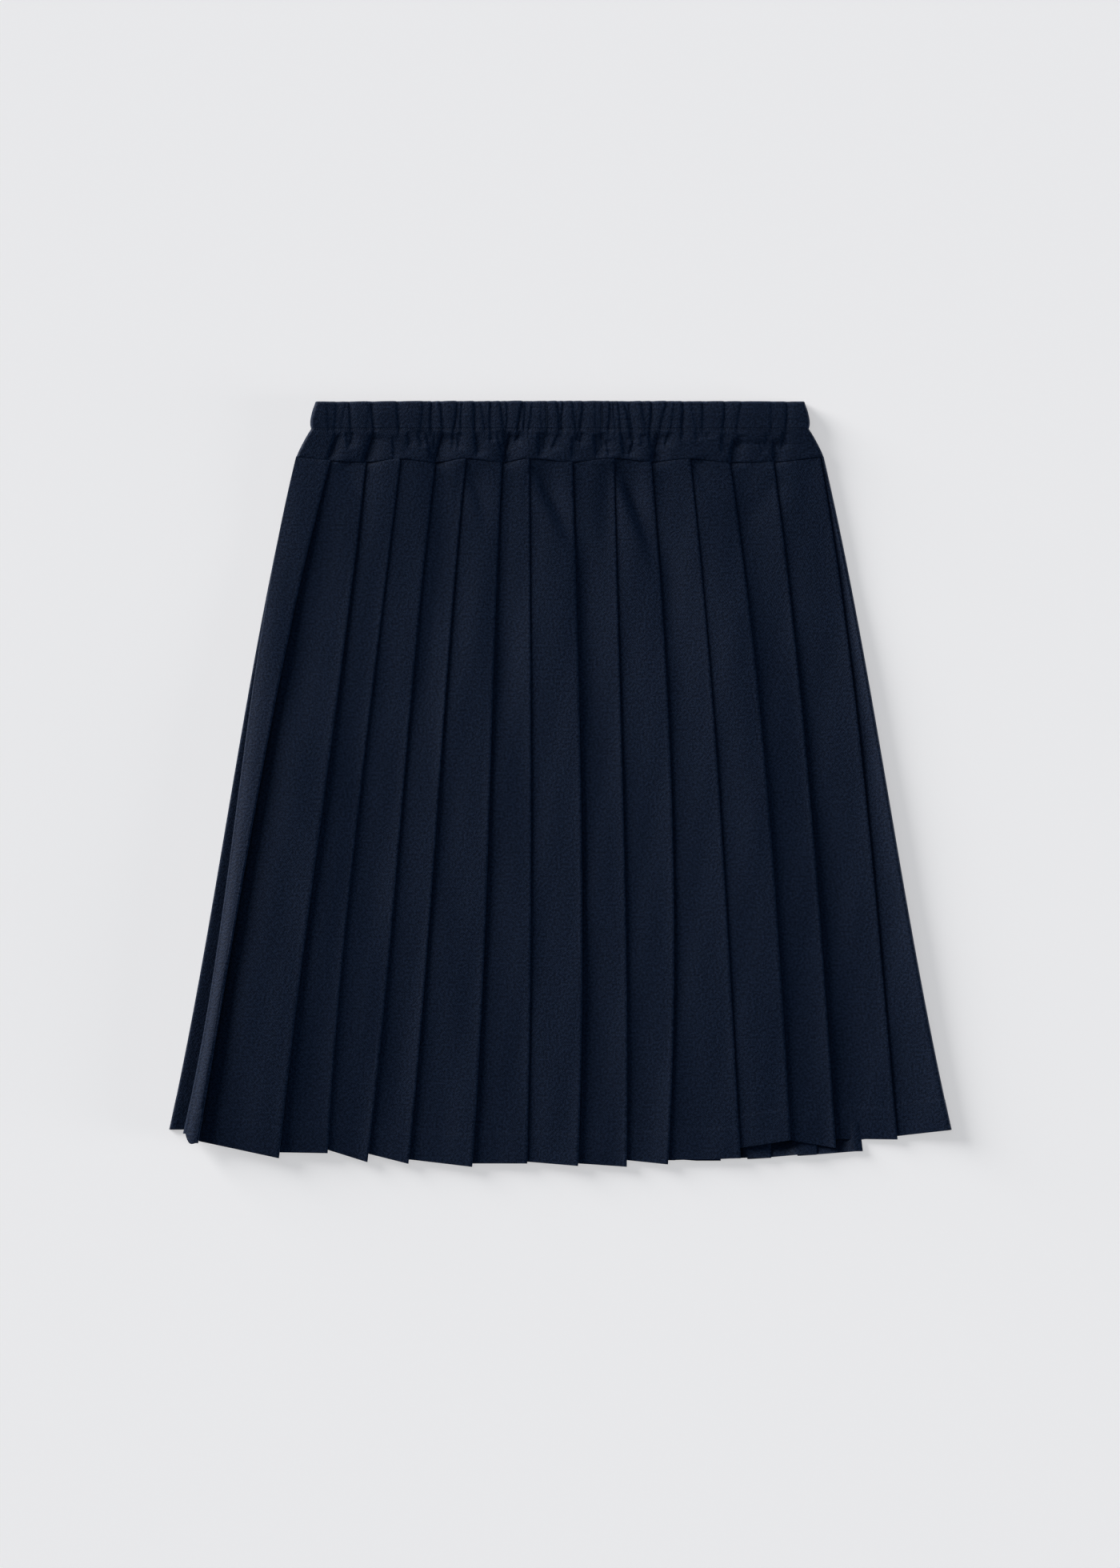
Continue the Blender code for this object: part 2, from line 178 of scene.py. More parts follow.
# The back's folds turn the other way and lie flat. They run from right to left.
BackFold = namedtuple("BackFold", "seam upper lower hem tip tuck")
BACK_FOLDS = [BackFold(*row) for row in (
    (137.0, 155.0, 173.5, 191.5, -231.5, -238.6),
    (115.0, 130.0, 143.5, 154.0, -241.4, -240.7),
    (93.0, 103.0, 113.0, 121.5, -243.7, -242.8),
    (69.5, 76.5, 83.5, 89.0, -244.6, -244.8),
    (47.0, 52.0, 56.5, 59.5, -243.0, -244.5),
    (24.0, 25.0, 26.0, 27.0, -242.0, -243.5),
    (1.5, -1.0, -3.5, -6.0, -241.5, -243.0),
    (-21.5, -27.5, -33.5, -38.5, -240.5, -242.0),
    (-44.5, -54.0, -62.5, -71.0, -239.0, -240.5),
    (-67.0, -80.0, -92.5, -103.5, -236.5, -238.5),
    (-90.5, -107.0, -122.0, -136.5, -234.0, -236.0),
    (-112.5, -133.0, -151.5, -168.0, -231.5, -233.0),
    (-134.0, -158.0, -180.0, -200.5, -229.0, -231.0),
)]

# Both sides of the garment, and the rolled first pleat of the front that lies on the left one
LEFT_SIDE = Line(-171.1, -201.2, -226.5, -255.0)
RIGHT_SIDE = Line(171.1, 200.7, 226.2, 255.6)
LEFT_ROLL = Line(-171.1, -198.8, -218.8, -245.4)
SIDE_HEM = -224.6           # height of the hem at both sides
ROLL_TIP = -227.0           # height of the hem at the roll's left edge
ROLL_BOTTOM = -234.5        # and at its lowest point
ROLL_HANG = 0.8             # share of the way to that point that its middle hangs
ROLL_UNDER = 0.3            # share of the roll's width that turns under it
ROLL_REACH = 2.0            # and the front's own cloth goes on for this much more
ROLL_SHOULDER = 0.45        # it has this share of its height where its left edge has turned up
ROLL_ROUND = 0.9            # from there to its fold it is round, and flat with less
ROLL_BEND = 3               # power of that round
ROLL_LIFT = 2.5             # power by which its lift grows towards the hem
ROLL_SAG = 0.6              # its under layer hangs lower by this at the hem

# One row a level of the waistband, from the seam up. side: half width. outer, inner: heights
# of the front wall's faces between the gathers. back: height of the back wall's inner face.
# crest: share of the seam's crests.
BandRow = namedtuple("BandRow", "y side outer inner back crest")
BAND = [BandRow(*row) for row in (
    (SEAM_Y, 171.1, 6.9, 5.1, 1.0, 1.0),
    (214.0, 169.8, 7.3, 5.4, 1.0, 0.75),
    (219.5, 167.6, 7.9, 5.6, 1.1, 0.4),
    (224.5, 165.2, 8.5, 5.3, 1.2, 0.2),
    (228.6, 162.9, 8.9, 4.7, 1.6, 0.1),
    (230.6, 161.8, 9.0, 3.9, 2.0, 0.0),
    (233.0, 162.2, 9.05, 3.6, 3.0, 0.0),
    (241.0, 161.4, 9.5, 3.6, 3.0, 0.0),
    (248.5, 158.9, 9.5, 4.0, 2.6, 0.0),
)]
STITCH_Y = 230.6            # the casing's row of stitches
GROOVE_DEPTH = 0.3          # it pulls the cloth down by this
GROOVE_ABOVE = 0.5          # over this width above it
GROOVE_BELOW = 30.0         # and this one below, so that the yoke lies lower than the casing
BAND_TOP_DROP = 0.8         # the upper edge is lower by this at both sides
TOP_DROP_OVER = 10.0        # which grows from nothing at the stitches within this height
TOP_EDGE = 1.4              # radius of the casing's upper edge
TOP_ARC = (75, -75, 6)      # its first and last angle in degrees, and its points
TOP_BUMPS = 0.4             # it comes down at a gather by this share of its depth
INNER_ROWS = 9              # rows on the inner face of the wall
BAND_TURN = 0.45            # the ring's turns at both sides are this share as wide as round ones
TURN_ARC = (70, -70, 7)     # their first and last angle in degrees, and their sections
SIDE_FADE = 12              # gathers fade out over the half width divided by this
BACK_GATHERS = 0.7          # the back's gathers have this share of the front's depth
FLOOR_CLEAR = 0.06          # the back wall's outer face lies this high above the floor
THIN_WALL = 0.6             # the walls are at least this thick

# Gathers of the casing. top, bottom: place at the upper edge and at the stitches. depth: how far
# one sinks. width: its half width.
Gather = namedtuple("Gather", "top bottom depth width")
GATHERS = [Gather(*row) for row in (
    (-151.3, -150.3, 0.8, 0.8), (-145.2, -146.4, 1.0, 0.9), (-138.4, -141.8, 0.5, 0.9),
    (-136.9, -136.0, 1.0, 0.7), (-124.3, -125.3, 0.4, 1.0), (-122.3, -121.0, 1.1, 0.7),
    (-105.9, -104.9, 1.2, 0.7), (-88.8, -90.6, 0.9, 0.9), (-83.2, -83.8, 1.3, 0.7),
    (-77.7, -76.2, 1.1, 0.8), (-66.7, -69.1, 1.2, 0.8), (-63.2, -64.4, 0.9, 0.7),
    (-55.4, -55.8, 1.5, 0.7), (-51.7, -48.9, 0.9, 0.8), (-44.6, -45.2, 1.1, 0.7),
    (-39.1, -36.6, 1.1, 0.8), (-34.7, -34.7, 0.8, 0.8), (-23.7, -27.7, 1.3, 0.8),
    (-21.9, -23.7, 0.9, 0.7), (-17.6, -20.3, 0.9, 0.8), (-12.1, -11.4, 0.5, 0.8),
    (-8.7, -8.4, 0.9, 0.8), (-2.2, -0.5, 1.1, 0.8), (2.3, 1.0, 0.9, 0.7),
    (8.1, 10.1, 0.9, 0.8), (15.0, 12.9, 1.2, 0.8), (23.7, 23.7, 0.5, 0.9),
    (27.3, 26.9, 0.9, 0.8), (32.2, 31.4, 1.0, 0.7), (34.7, 35.9, 0.6, 0.8),
    (37.8, 39.2, 0.9, 0.7), (41.4, 45.3, 1.2, 0.8), (44.9, 47.0, 0.8, 0.7),
    (52.7, 55.5, 1.0, 0.8), (59.2, 58.3, 1.3, 0.8), (69.9, 65.0, 0.9, 1.0),
    (74.6, 71.9, 0.5, 0.9), (79.7, 78.8, 1.3, 0.7), (85.6, 88.7, 0.6, 0.9),
    (92.7, 92.6, 1.0, 0.8), (106.7, 105.8, 1.1, 0.7), (118.1, 114.8, 0.7, 1.0),
    (137.1, 136.9, 0.5, 1.0), (147.2, 146.3, 1.1, 0.7),
)]
GATHER_BELOW = 4.5          # a gather dies out this far below the stitches
GATHER_LEFT = 0.7           # its width is this many times the table's on its left side
GATHER_RIGHT = 5.0          # and this many on its right
GATHER_SHARE = 0.6          # its depth is this share of the table's
GATHER_BOW = 0.5            # halfway up, it bows to one side by at most this
GATHER_PHASE = 2.1          # by the sine of this many times its number
GATHER_UNEVEN = 0.3         # and its width varies by at most this share

# Creases, each from its upper to its lower end. depth: how far it sinks, or stands up where it
# is less than nothing. width: its half width. lean: its right side is this many times as wide.
# tail: share of its length over which it dies out below. head: the same above.
Crease = namedtuple("Crease", "x0 y0 x1 y1 depth width lean tail head",
                    defaults=(0.8, 6.0, 0.35, 0.25))
CREASE_ENDS = 0.35          # at both ends, it is this far on its soft step to its whole depth
CREASES = [Crease(*row) for row in (
    # Yoke
    (-145.6, 228.0, -151.3, 209.5, 0.9), (-143.0, 227.5, -149.2, 212.0, 0.6),
    (-138.8, 228.5, -137.3, 217.5, 0.6), (-134.5, 228.5, -136.2, 220.0, 0.5),
    (-121.5, 228.0, -127.4, 208.0, 1.2, 1.1, 7.0), (-108.4, 226.0, -107.8, 211.0, 0.5),
    (-99.3, 228.5, -97.8, 219.0, 0.6), (-92.6, 228.5, -89.5, 219.0, 0.6),
    (-87.0, 228.0, -83.0, 210.5, 0.8), (-81.6, 228.5, -81.6, 217.0, 0.5),
    (-76.4, 228.0, -81.4, 208.0, 1.2, 1.1, 7.0), (-69.7, 228.0, -69.7, 218.0, 0.5),
    (-66.0, 228.0, -66.0, 217.0, 0.6), (-55.2, 228.5, -53.6, 213.5, 0.8),
    (-45.2, 228.5, -44.7, 222.5, 0.6), (-41.1, 228.5, -37.6, 215.0, 0.7),
    (-36.0, 228.5, -36.6, 218.0, 0.6), (-32.2, 228.5, -37.4, 207.5, 1.2, 1.1, 7.0),
    (-25.0, 229.0, -29.6, 222.0, 0.6), (-13.3, 228.5, -13.4, 213.0, 0.8, 1.2),
    (-9.6, 228.0, -10.0, 217.0, 0.5, 1.2), (-1.0, 228.0, -5.2, 217.0, 0.6),
    (8.5, 225.5, 7.8, 211.0, 0.6), (12.0, 228.5, 10.2, 222.0, 0.6),
    (14.8, 228.5, 13.0, 220.5, 0.5), (22.2, 227.0, 23.8, 212.5, 0.7),
    (26.0, 228.0, 27.8, 217.5, 0.6), (30.0, 223.5, 32.0, 213.0, 0.6),
    (39.5, 228.5, 41.6, 213.5, 0.7), (45.2, 228.5, 47.8, 221.0, 0.6),
    (47.6, 222.0, 45.0, 213.5, 0.6), (52.6, 227.0, 53.2, 219.5, 0.5),
    (57.4, 229.0, 59.4, 217.0, 0.7), (63.6, 228.5, 60.0, 208.5, 1.1, 1.1, 7.0),
    (70.8, 229.0, 68.2, 219.5, 0.6), (80.1, 229.5, 79.5, 224.0, 0.4),
    (88.0, 228.5, 88.8, 223.0, 0.4), (95.4, 229.0, 96.0, 224.5, 0.4),
    (105.2, 227.0, 105.2, 214.5, 0.6), (116.3, 227.0, 114.2, 218.0, 0.6),
    (113.0, 223.5, 111.0, 208.0, 1.0, 1.1, 7.0), (112.0, 221.8, 132.0, 219.8, 0.35, 1.2, 2.0),
    (129.6, 223.0, 131.4, 214.5, 0.4, 0.9), (134.2, 228.0, 133.4, 219.0, 0.5),
    (145.2, 228.5, 144.0, 218.0, 0.6), (138.6, 223.5, 139.6, 208.0, 0.9, 1.1, 7.0),
    (-121.0, 227.0, -126.5, 206.0, 0.6, 4.0, 1.6), (-97.0, 226.0, -100.0, 214.0, 0.35, 3.0, 2.0),
    (-76.0, 227.0, -80.5, 206.0, 0.7, 4.5, 1.6), (-52.0, 226.0, -54.0, 212.0, 0.4, 3.0, 2.0),
    (-32.0, 227.0, -36.5, 206.0, 0.7, 4.5, 1.6), (-12.0, 226.0, -12.5, 212.0, 0.5, 3.0, 2.0),
    (25.0, 226.0, 26.5, 212.0, 0.5, 3.5, 2.0), (43.0, 226.0, 45.0, 212.0, 0.5, 3.5, 2.0),
    (64.0, 227.0, 61.0, 206.0, 0.7, 4.0, 1.6), (113.0, 221.0, 112.0, 206.0, 0.6, 4.0, 1.6),
    (139.0, 221.0, 140.0, 206.0, 0.5, 4.0, 1.6),
    # Front panel, below the seam
    (-141.0, 208.0, -130.0, 190.0, 0.6, 4.0, 2.5, 0.9),
    (-58.5, 207.0, -47.0, 168.0, 1.2, 4.0, 2.5, 1.0, 0.5),
    (-63.5, 207.0, -66.0, 180.0, 0.4, 3.0, 3.0, 0.9),
    (-15.0, 207.0, 7.5, 158.0, 2.9, 4.6, 2.2, 1.0, 0.6),
    (-20.5, 206.0, -22.0, 176.0, 0.4, 2.6, 3.0, 0.9),
    (32.5, 209.0, 30.5, 150.0, 1.1, 6.5, 1.2, 1.0),
    (39.5, 208.0, 60.0, 150.0, 3.4, 4.3, 2.4, 1.0, 0.6),
    (87.0, 210.0, 99.0, 186.0, 0.7, 3.6, 3.0, 0.9),
    (141.0, 200.0, 124.0, 170.0, 0.6, 6.0, 1.5, 0.9),
    # Along the deepest folds
    (-72.0, 215.0, -85.0, 50.0, 1.4, 9.0, 2.4, 0.6),
    (-85.0, 215.0, -96.0, 60.0, 0.15, 9.0, 1.0, 0.6),
    (-30.0, 215.0, -37.0, 30.0, 1.3, 9.0, 1.8, 0.6),
    (-40.0, 215.0, -45.0, 40.0, 0.4, 9.0, 1.0, 0.6),
    (16.0, 215.0, 22.0, 20.0, 1.3, 8.0, 2.7, 0.6),
    (67.0, 215.0, 77.0, 70.0, 1.1, 8.0, 1.8, 0.6),
    (120.0, 215.0, 138.0, 70.0, 0.7, 8.0, 1.6, 0.6),
    (-121.0, 75.0, -141.0, -110.0, 1.1, 12.0, 2.5, 0.5),
    # Broad humps and hollows towards the hem
    (-165.0, 60.0, -221.0, -245.0, -4.0, 36.0, 1.7, 0.6),
    (-152.0, -40.0, -183.0, -246.0, -2.8, 90.0, 0.7, 0.3, 0.9),
    (112.0, 140.0, 142.0, -262.0, -2.2, 36.0, 1.0, 0.7),
    (152.0, 140.0, 201.0, -330.0, 1.7, 28.0, 1.0),
)]

# Soft waves of the front's cloth, alike in all its layers. across, down: their lengths.
Wave = namedtuple("Wave", "across down phase height")
WAVES = [Wave(*row) for row in (
    (61.0, 230.0, 0.4, 0.16),
    (-43.0, 150.0, 2.1, 0.12),
    (27.0, 190.0, 4.0, 0.08),
    (-19.0, 95.0, 1.3, 0.05),
)]

# Two upright rows of slanting tacks that hold the elastic
TACK_ROWS = (-8.6, 27.1)    # their places across
TACKS = 17                  # in each row
TACK_TOP = 246.6            # height of the first
TACK_PITCH = 0.92           # from one to the next
TACK_LEAN = 58              # they lean by this angle to one side and the other, in degrees
TACK_WANDER = 0.15          # and stray from the row by at most this
TACK_PHASE = 0.7            # by the sine of this many times their number
STITCH_WANDER = 0.12        # the casing's stitches stray from theirs by at most this
STITCH_PAST = 1.0           # and go on for this much at both ends
THREAD_OUT = 0.25           # share of its width by which a thread's middle lies off the cloth
DROP_FROM = 0.1             # in metres, height from which the stitches are dropped on it

# Stage, in metres
FLOOR_SIZE = 12.0
ROOM_TINT = (0.55, 0.9, 1.25, 1.0)
SENSOR = 36.0               # width of the camera's picture, in millimetres

# Soft lights. azimuth: from where they shine, in degrees from +X towards the waist.
# elevation: above the floor. spread: their size in the sky.
Light = namedtuple("Light", "name azimuth elevation spread")
LIGHTS = (
    Light("key_light", 145, 14, 30),
    Light("top_light", 140, 62, 50),
    Light("fill_light", -8, 6, 16),
)


# What all settings for a length and all for a colour say
LENGTH = {"subtype": "DISTANCE", "unit": "LENGTH"}
COLOUR = {"min": 0.0, "max": 1.0, "size": 3, "subtype": "COLOR"}


class ClothSettings(bpy.types.PropertyGroup):
    """Twill and how it is sewn."""

    wall: bpy.props.FloatProperty(
        name="Cloth", description="Thickness of one layer of twill",
        default=0.0006, min=0.0002, max=0.001, **LENGTH)
    hem_wall: bpy.props.FloatProperty(
        name="Hem", description="Thickness of the turned hem",
        default=0.00085, min=0.0002, max=0.001, **LENGTH)
    hem_depth: bpy.props.FloatProperty(
        name="Hem depth", description="Height of the turned hem",
        default=0.020, min=0.005, max=0.05, **LENGTH)
    wale: bpy.props.FloatProperty(
        name="Wale", description="Distance between two wales of the twill",
        default=0.0011, min=0.0003, max=0.003, **LENGTH)
    dark: bpy.props.FloatVectorProperty(
        name="Shaded yarn", description="Colour of the twill between its wales",
        default=(0.0000, 0.0036, 0.0147), **COLOUR)
    light: bpy.props.FloatVectorProperty(
        name="Raised yarn", description="Colour of the twill on its wales",
        default=(0.0078, 0.0166, 0.0410), **COLOUR)
    bloom: bpy.props.FloatVectorProperty(
        name="Bloom", description="Tint of the fine fibres that catch the light",
        default=(0.52, 0.68, 1.0), **COLOUR)
    thread: bpy.props.FloatVectorProperty(
        name="Thread", description="Colour of the sewing thread",
        default=(0.008, 0.013, 0.027), **COLOUR)


class StitchSettings(bpy.types.PropertyGroup):
    """Sewing on the waistband."""

    pitch: bpy.props.FloatProperty(
        name="Pitch", description="Distance between two stitches of the casing's row",
        default=0.0015, min=0.0008, max=0.004, **LENGTH)
    length: bpy.props.FloatProperty(
        name="Length", description="Length of one stitch",
        default=0.0012, min=0.0005, max=0.003, **LENGTH)
    thread: bpy.props.FloatProperty(
        name="Thread", description="Diameter of the thread",
        default=0.00034, min=0.0001, max=0.001, **LENGTH)


class StageSettings(bpy.types.PropertyGroup):
    """Floor, lights and camera."""

    floor: bpy.props.FloatVectorProperty(
        name="Floor", description="Colour of the floor",
        default=(0.61, 0.60, 0.60), **COLOUR)
    glow: bpy.props.FloatProperty(
        name="Floor glow", description="Light that shines through the floor from below",
        default=0.79, min=0.0, max=2.0)
    key_light: bpy.props.FloatProperty(
        name="Key light", description="Strength of the low light from the upper left",
        default=4.92, min=0.0, max=10.0)
    top_light: bpy.props.FloatProperty(
        name="Top light", description="Strength of the high light",
        default=0.20, min=0.0, max=10.0)
    fill_light: bpy.props.FloatProperty(
        name="Fill light", description="Strength of the low light from the right",
        default=1.60, min=0.0, max=10.0)
    sky: bpy.props.FloatProperty(
        name="Surroundings", description="Brightness of the room",
        default=0.08, min=0.0, max=10.0)
    camera_height: bpy.props.FloatProperty(
        name="Camera height", description="Height of the camera above the floor",
        default=6.0, min=1.0, max=20.0, **LENGTH)
    view_height: bpy.props.FloatProperty(
        name="View height", description="Height of the picture on the floor",
        default=1.0192, min=0.5, max=3.0, **LENGTH)


# Shapes of lines and layers


def ease(share):
    """Soft step from 0 to 1."""
    return 0.5 - 0.5 * np.cos(np.pi * np.clip(share, 0.0, 1.0))


def mix(a, b, share):
    return a + (b - a) * share


def along(line, y):
    """Place of a line at height y: the smooth curve through its four values."""
    v = (SEAM_Y - y) / PANEL
    return (-4.5 * (v - 1 / 3) * (v - 2 / 3) * (v - 1) * line.seam
            + 13.5 * v * (v - 2 / 3) * (v - 1) * line.upper
            - 13.5 * v * (v - 1 / 3) * (v - 1) * line.lower
            + 4.5 * v * (v - 1 / 3) * (v - 2 / 3) * line.hem)


def crest_at(x, y=SEAM_Y, sharp=0.0):
    """Crest or hollow of the front at these places, from one fold to the next.

    With sharp 0 it is a soft wave. With 1, a hollow is steep on its left and rises slowly on
    its right."""
    lines = [LEFT_SIDE] + FRONT_FOLDS + [RIGHT_SIDE]
    places = np.array([along(line, y) for line in lines])
    crests = np.array([0.0] + [fold.crest for fold in FRONT_FOLDS] + [0.0])
    right = np.clip(np.searchsorted(places, x), 1, len(places) - 1)
    before, after = crests[right - 1], crests[right]
    share = np.clip((x - places[right - 1]) / (places[right] - places[right - 1]), 0.0, 1.0)
    way = np.where(before < after, share, 1 - share)
    left = (1 - np.exp(-way / HOLLOW_LEFT)) / (1 - math.exp(-1 / HOLLOW_LEFT))
    climb = mix(ease(way), np.where(before < after, way ** HOLLOW_RIGHT, left), sharp)
    return np.minimum(before, after) + np.abs(after - before) * climb


def seam_rise(x):
    """The seam runs up over each crest, down into each hollow, and up to both sides."""
    near_side = (np.abs(x) / RIGHT_SIDE.seam - SIDE_RISE_FROM) / (1 - SIDE_RISE_FROM)
    return crest_at(x) + SIDE_RISE * np.clip(near_side, 0.0, 1.0) ** 2


def fade(away, reach):
    """Share of a height at the seam that is left this far away from it."""
    return np.maximum(0.0, 1 - away / reach) ** 2


def ply_at(fold, v):
    """Height of one layer at a front fold: less near the seam, and under its crests."""
    tight = TIGHT_SEAM + TIGHT_FOLD * min(max(fold.crest, 0.0) / HIGH_CREST, 1.0)
    return PLY * (1 - tight * float(ease(1 - v / TIGHT_REACH)))


def creases_at(x, y):
    """How far the creases let the cloth sink at these places."""
    sunk = np.zeros_like(x)
    for crease in CREASES:
        run = np.array([crease.x1 - crease.x0, crease.y1 - crease.y0])
        length = np.hypot(*run)
        ahead = ((x - crease.x0) * run[0] + (y - crease.y0) * run[1]) / length ** 2
        aside = ((x - crease.x0) * run[1] - (y - crease.y0) * run[0]) / length
        ends = ease(ahead / crease.head + CREASE_ENDS)
        ends *= ease((1 - ahead) / crease.tail + CREASE_ENDS)
        wide = np.where(aside < 0, crease.width * crease.lean, crease.width)
        sunk += crease.depth * ends * np.exp(-(aside / wide) ** 2)
    return sunk


def waves_at(x, y):
    """Height of the soft waves at these places."""
    height = np.zeros_like(x)
    for wave in WAVES:
        height += wave.height * np.sin(2 * np.pi * (x / wave.across + y / wave.down) + wave.phase)
    return height


def underlay(face):
    """Width that a pleat turns under a face of this width."""
    return min(max((PLEAT_CLOTH - face) / 2, LEAST_UNDERLAY), UNDERLAY_SHARE * face)


def face_height(share, rise, swell):
    """Height of a face between its start and its folded edge, where it has its whole rise."""
    return rise * share * (share + 2 * swell * (1 - share))


def nest_share(rise, swell):
    """Share of a face's width from which two layers have room under it."""
    least = LEAST_NEST / rise
    return least / (swell + math.sqrt(swell ** 2 + (1 - 2 * swell) * least))


def height_at(hem, v):
    """Height of a row at depth v, from 0 at the seam to 1 at this hem."""
    return mix(SEAM_Y, hem, v)


def lift_at(fold, v):
    """How far a front fold's edge stands off at depth v, which the roll's does early."""
    return fold.lift * (1 - (1 - v) ** (ROLL_LIFT if fold is FRONT_FOLDS[0] else FOLD_LIFT))


def turn(edge, y, first, last, side, steps):
    """Points round a fold whose edge is at this place, from one layer's height to the next."""
    half = (first - last) / 2
    points = []
    for step in range(steps + 1):
        angle = math.pi * step / steps
        x = edge - side * abs(half) * (1 - math.sin(angle))
        points.append((x, y, (first + last) / 2 + half * math.cos(angle), 1.0))
    return points


def run_between(first, last, steps):
    """Points on the way from one point to another, without either."""
    return [tuple(mix(a, b, step / (steps + 1)) for a, b in zip(first, last))
            for step in range(1, steps + 1)]


# Front panel


def fold_under(fold, edge, under, nest, v, ply):
    """Points over a front fold's edge, along its underlay and round the fold beneath it.

    nest is the height of the face over that inner fold."""
    tip_y = height_at(fold.tip, v)
    lift = lift_at(fold, v)
    inner_y = height_at(fold.tuck, v)
    outer = turn(edge, tip_y, 2 * ply + lift, ply + lift * OPEN_FOLD, 1, TURN_STEPS)
    inner = turn(along(fold, inner_y) - under, inner_y, nest / 2, 0.0, -1, INNER_STEPS)
    return outer + run_between(outer[-1], inner[0], UNDER_STEPS) + inner


def rolled_side(v):
    """Points of the first pleat, which rolls over the left edge."""
    fold = FRONT_FOLDS[0]
    ply = ply_at(fold, v)
    tuck_y = height_at(ROLL_TIP, v)
    tip_y = height_at(fold.tip, v)
    low_y = height_at(ROLL_BOTTOM, v)
    start = along(LEFT_ROLL, tuck_y)
    edge = along(fold, tip_y)
    face = edge - along(LEFT_ROLL, tip_y)
    lift = lift_at(fold, v)
    sag = -ROLL_SAG * v
    crown = ROLL_SHOULDER * (2 * ply + lift)
    roll = turn(start, tuck_y, sag, crown, -1, ROLL_TURN_STEPS)
    under = (start + ROLL_UNDER * face + ROLL_REACH, tuck_y, sag, 1.0)
    points = [under] + run_between(under, roll[0], 1) + roll
    last = edge - ply / 2
    for step in range(1, ROLL_STEPS):
        share = step / ROLL_STEPS
        bend = 4 * share * (1 - share)
        y = mix(mix(tuck_y, tip_y, share), low_y, bend * ROLL_HANG)
        climb = mix(share, 1 - (1 - share) ** ROLL_BEND, ROLL_ROUND)
        z = mix(crown, 2 * ply + lift, climb)
        points.append((mix(roll[-1][0], last, share), y, z, 1.0))
    return points + fold_under(fold, edge, underlay(face), 2 * ply, v, ply)


def front_pleat(before, fold, v):
    """Points of one pleat: its face comes out from under the fold before it."""
    ply = ply_at(fold, v)
    tuck_y = height_at(before.tuck, v)
    tip_y = height_at(fold.tip, v)
    start = along(before, tuck_y) + LEAD
    edge = along(fold, tip_y)
    last = edge - ply / 2
    face = edge - along(before, tip_y)
    rise = 2 * ply + lift_at(fold, v)
    down = float(ease((v - LOW_FROM) / (LOW_TO - LOW_FROM)))
    even = EVEN_SWELL + CREST_SWELL * max(fold.crest, 0.0)
    swell = mix(even, mix(fold.swell, fold.low, down), float(ease(v / SWELL_FROM)))
    under = min(underlay(face), (1 - nest_share(rise, swell)) * (last - start))
    points = [(start - LEAD - TUCKED, tuck_y, 0.0, 1.0)]
    lip = LIP * float(ease(v / CREST_REACH))
    for step in range(FACE_STEPS):
        share = step / FACE_STEPS
        x = mix(start, last, share)
        z = face_height(share, rise, swell) - lip * (1 - math.exp((x - last) / LIP_WIDTH))
        z += lip * math.exp((start - x) / LIP_WIDTH)
        points.append((x, mix(tuck_y, tip_y, share), z, 1.0))
    nest = max(face_height((edge - under - start) / (last - start), rise, swell), LEAST_NEST)
    return points + fold_under(fold, edge, under, nest, v, ply)


def last_face(v):
    """Points of the last face, which rounds down to the right side seam."""
    fold = FRONT_FOLDS[-1]
    tuck_y = height_at(fold.tuck, v)
    side_y = height_at(SIDE_HEM, v)
    start = along(fold, tuck_y)
    side = along(RIGHT_SIDE, side_y)
    shoulder = side - mix(*SIDE_ROLL, v)
    rise = LAST_RISE * v * (2 - v)
    points = [(start - TUCKED, tuck_y, 0.0, 1.0)]
    across, down = LAST_STEPS
    for step in range(across):
        share = step / across
        x = mix(start + LEAD, shoulder, share)
        y = mix(tuck_y, side_y, (x - start) / (side - start))
        points.append((x, y, rise * share ** LAST_BEND, 1.0))
    drop = FRONT_BASE - SIDE_SEAM_Z
    for step in range(down + 1):
        angle = 0.5 * math.pi * step / down
        x = mix(shoulder, side, math.sin(angle))
        y = mix(tuck_y, side_y, (x - start) / (side - start))
        stay = math.cos(angle)
        points.append((x, y, rise * stay - drop * (1 - stay), stay))
    return points


def panel_depths():
    """Rows of a panel as shares of its length: close near the seam and at the hem's top."""
    creased = np.arange(*CREASED_ROWS)
    long_run = np.linspace(LONG_ROWS[0], PANEL - LONG_ROWS[1], LONG_ROWS[2])
    hem = PANEL - np.array(HEM_ROWS)
    return list(np.concatenate([SEAM_ROWS, creased, long_run, hem]) / PANEL)


def front_points():
    """Rows of points of the front panel."""
    rows = []
    depths = panel_depths()
    for v in depths:
        row = rolled_side(v)
        for before, fold in zip(FRONT_FOLDS, FRONT_FOLDS[1:]):
            row += front_pleat(before, fold, v)
        rows.append(row + last_face(v))
    points = np.array(rows)
    share = points[:, :, 3]
    x = points[:, :, 0]
    v = np.array(depths)[:, None]
    crests = np.array([crest_at(line, height_at(HEM_Y, depth), sharp=1.0)
                       for line, depth in zip(x, depths)])
    points[:, :, 1] += seam_rise(x) * (1 - v)
    y = points[:, :, 1]
    turned = SEAM_SINK * fade(v * PANEL, SEAM_TURN)
    sag = HEM_SAG * np.clip((v - HEM_SAG_FROM) / (1 - HEM_SAG_FROM), 0.0, 1.0) ** 2
    stand = SEAM_LOFT * fade(v, LOFT_REACH) + CREST_STAND * crests * fade(v, CREST_REACH)
    stand -= WAIST_HOLLOW * np.exp(-((v - HOLLOW_AT[0]) / HOLLOW_AT[1]) ** 2)
    points[:, :, 2] += FRONT_BASE + share * (stand - turned - sag)
    points[:, :, 2] += share * (waves_at(x, y) - creases_at(x, y))
    return points[:, :, :3]


# Back panel


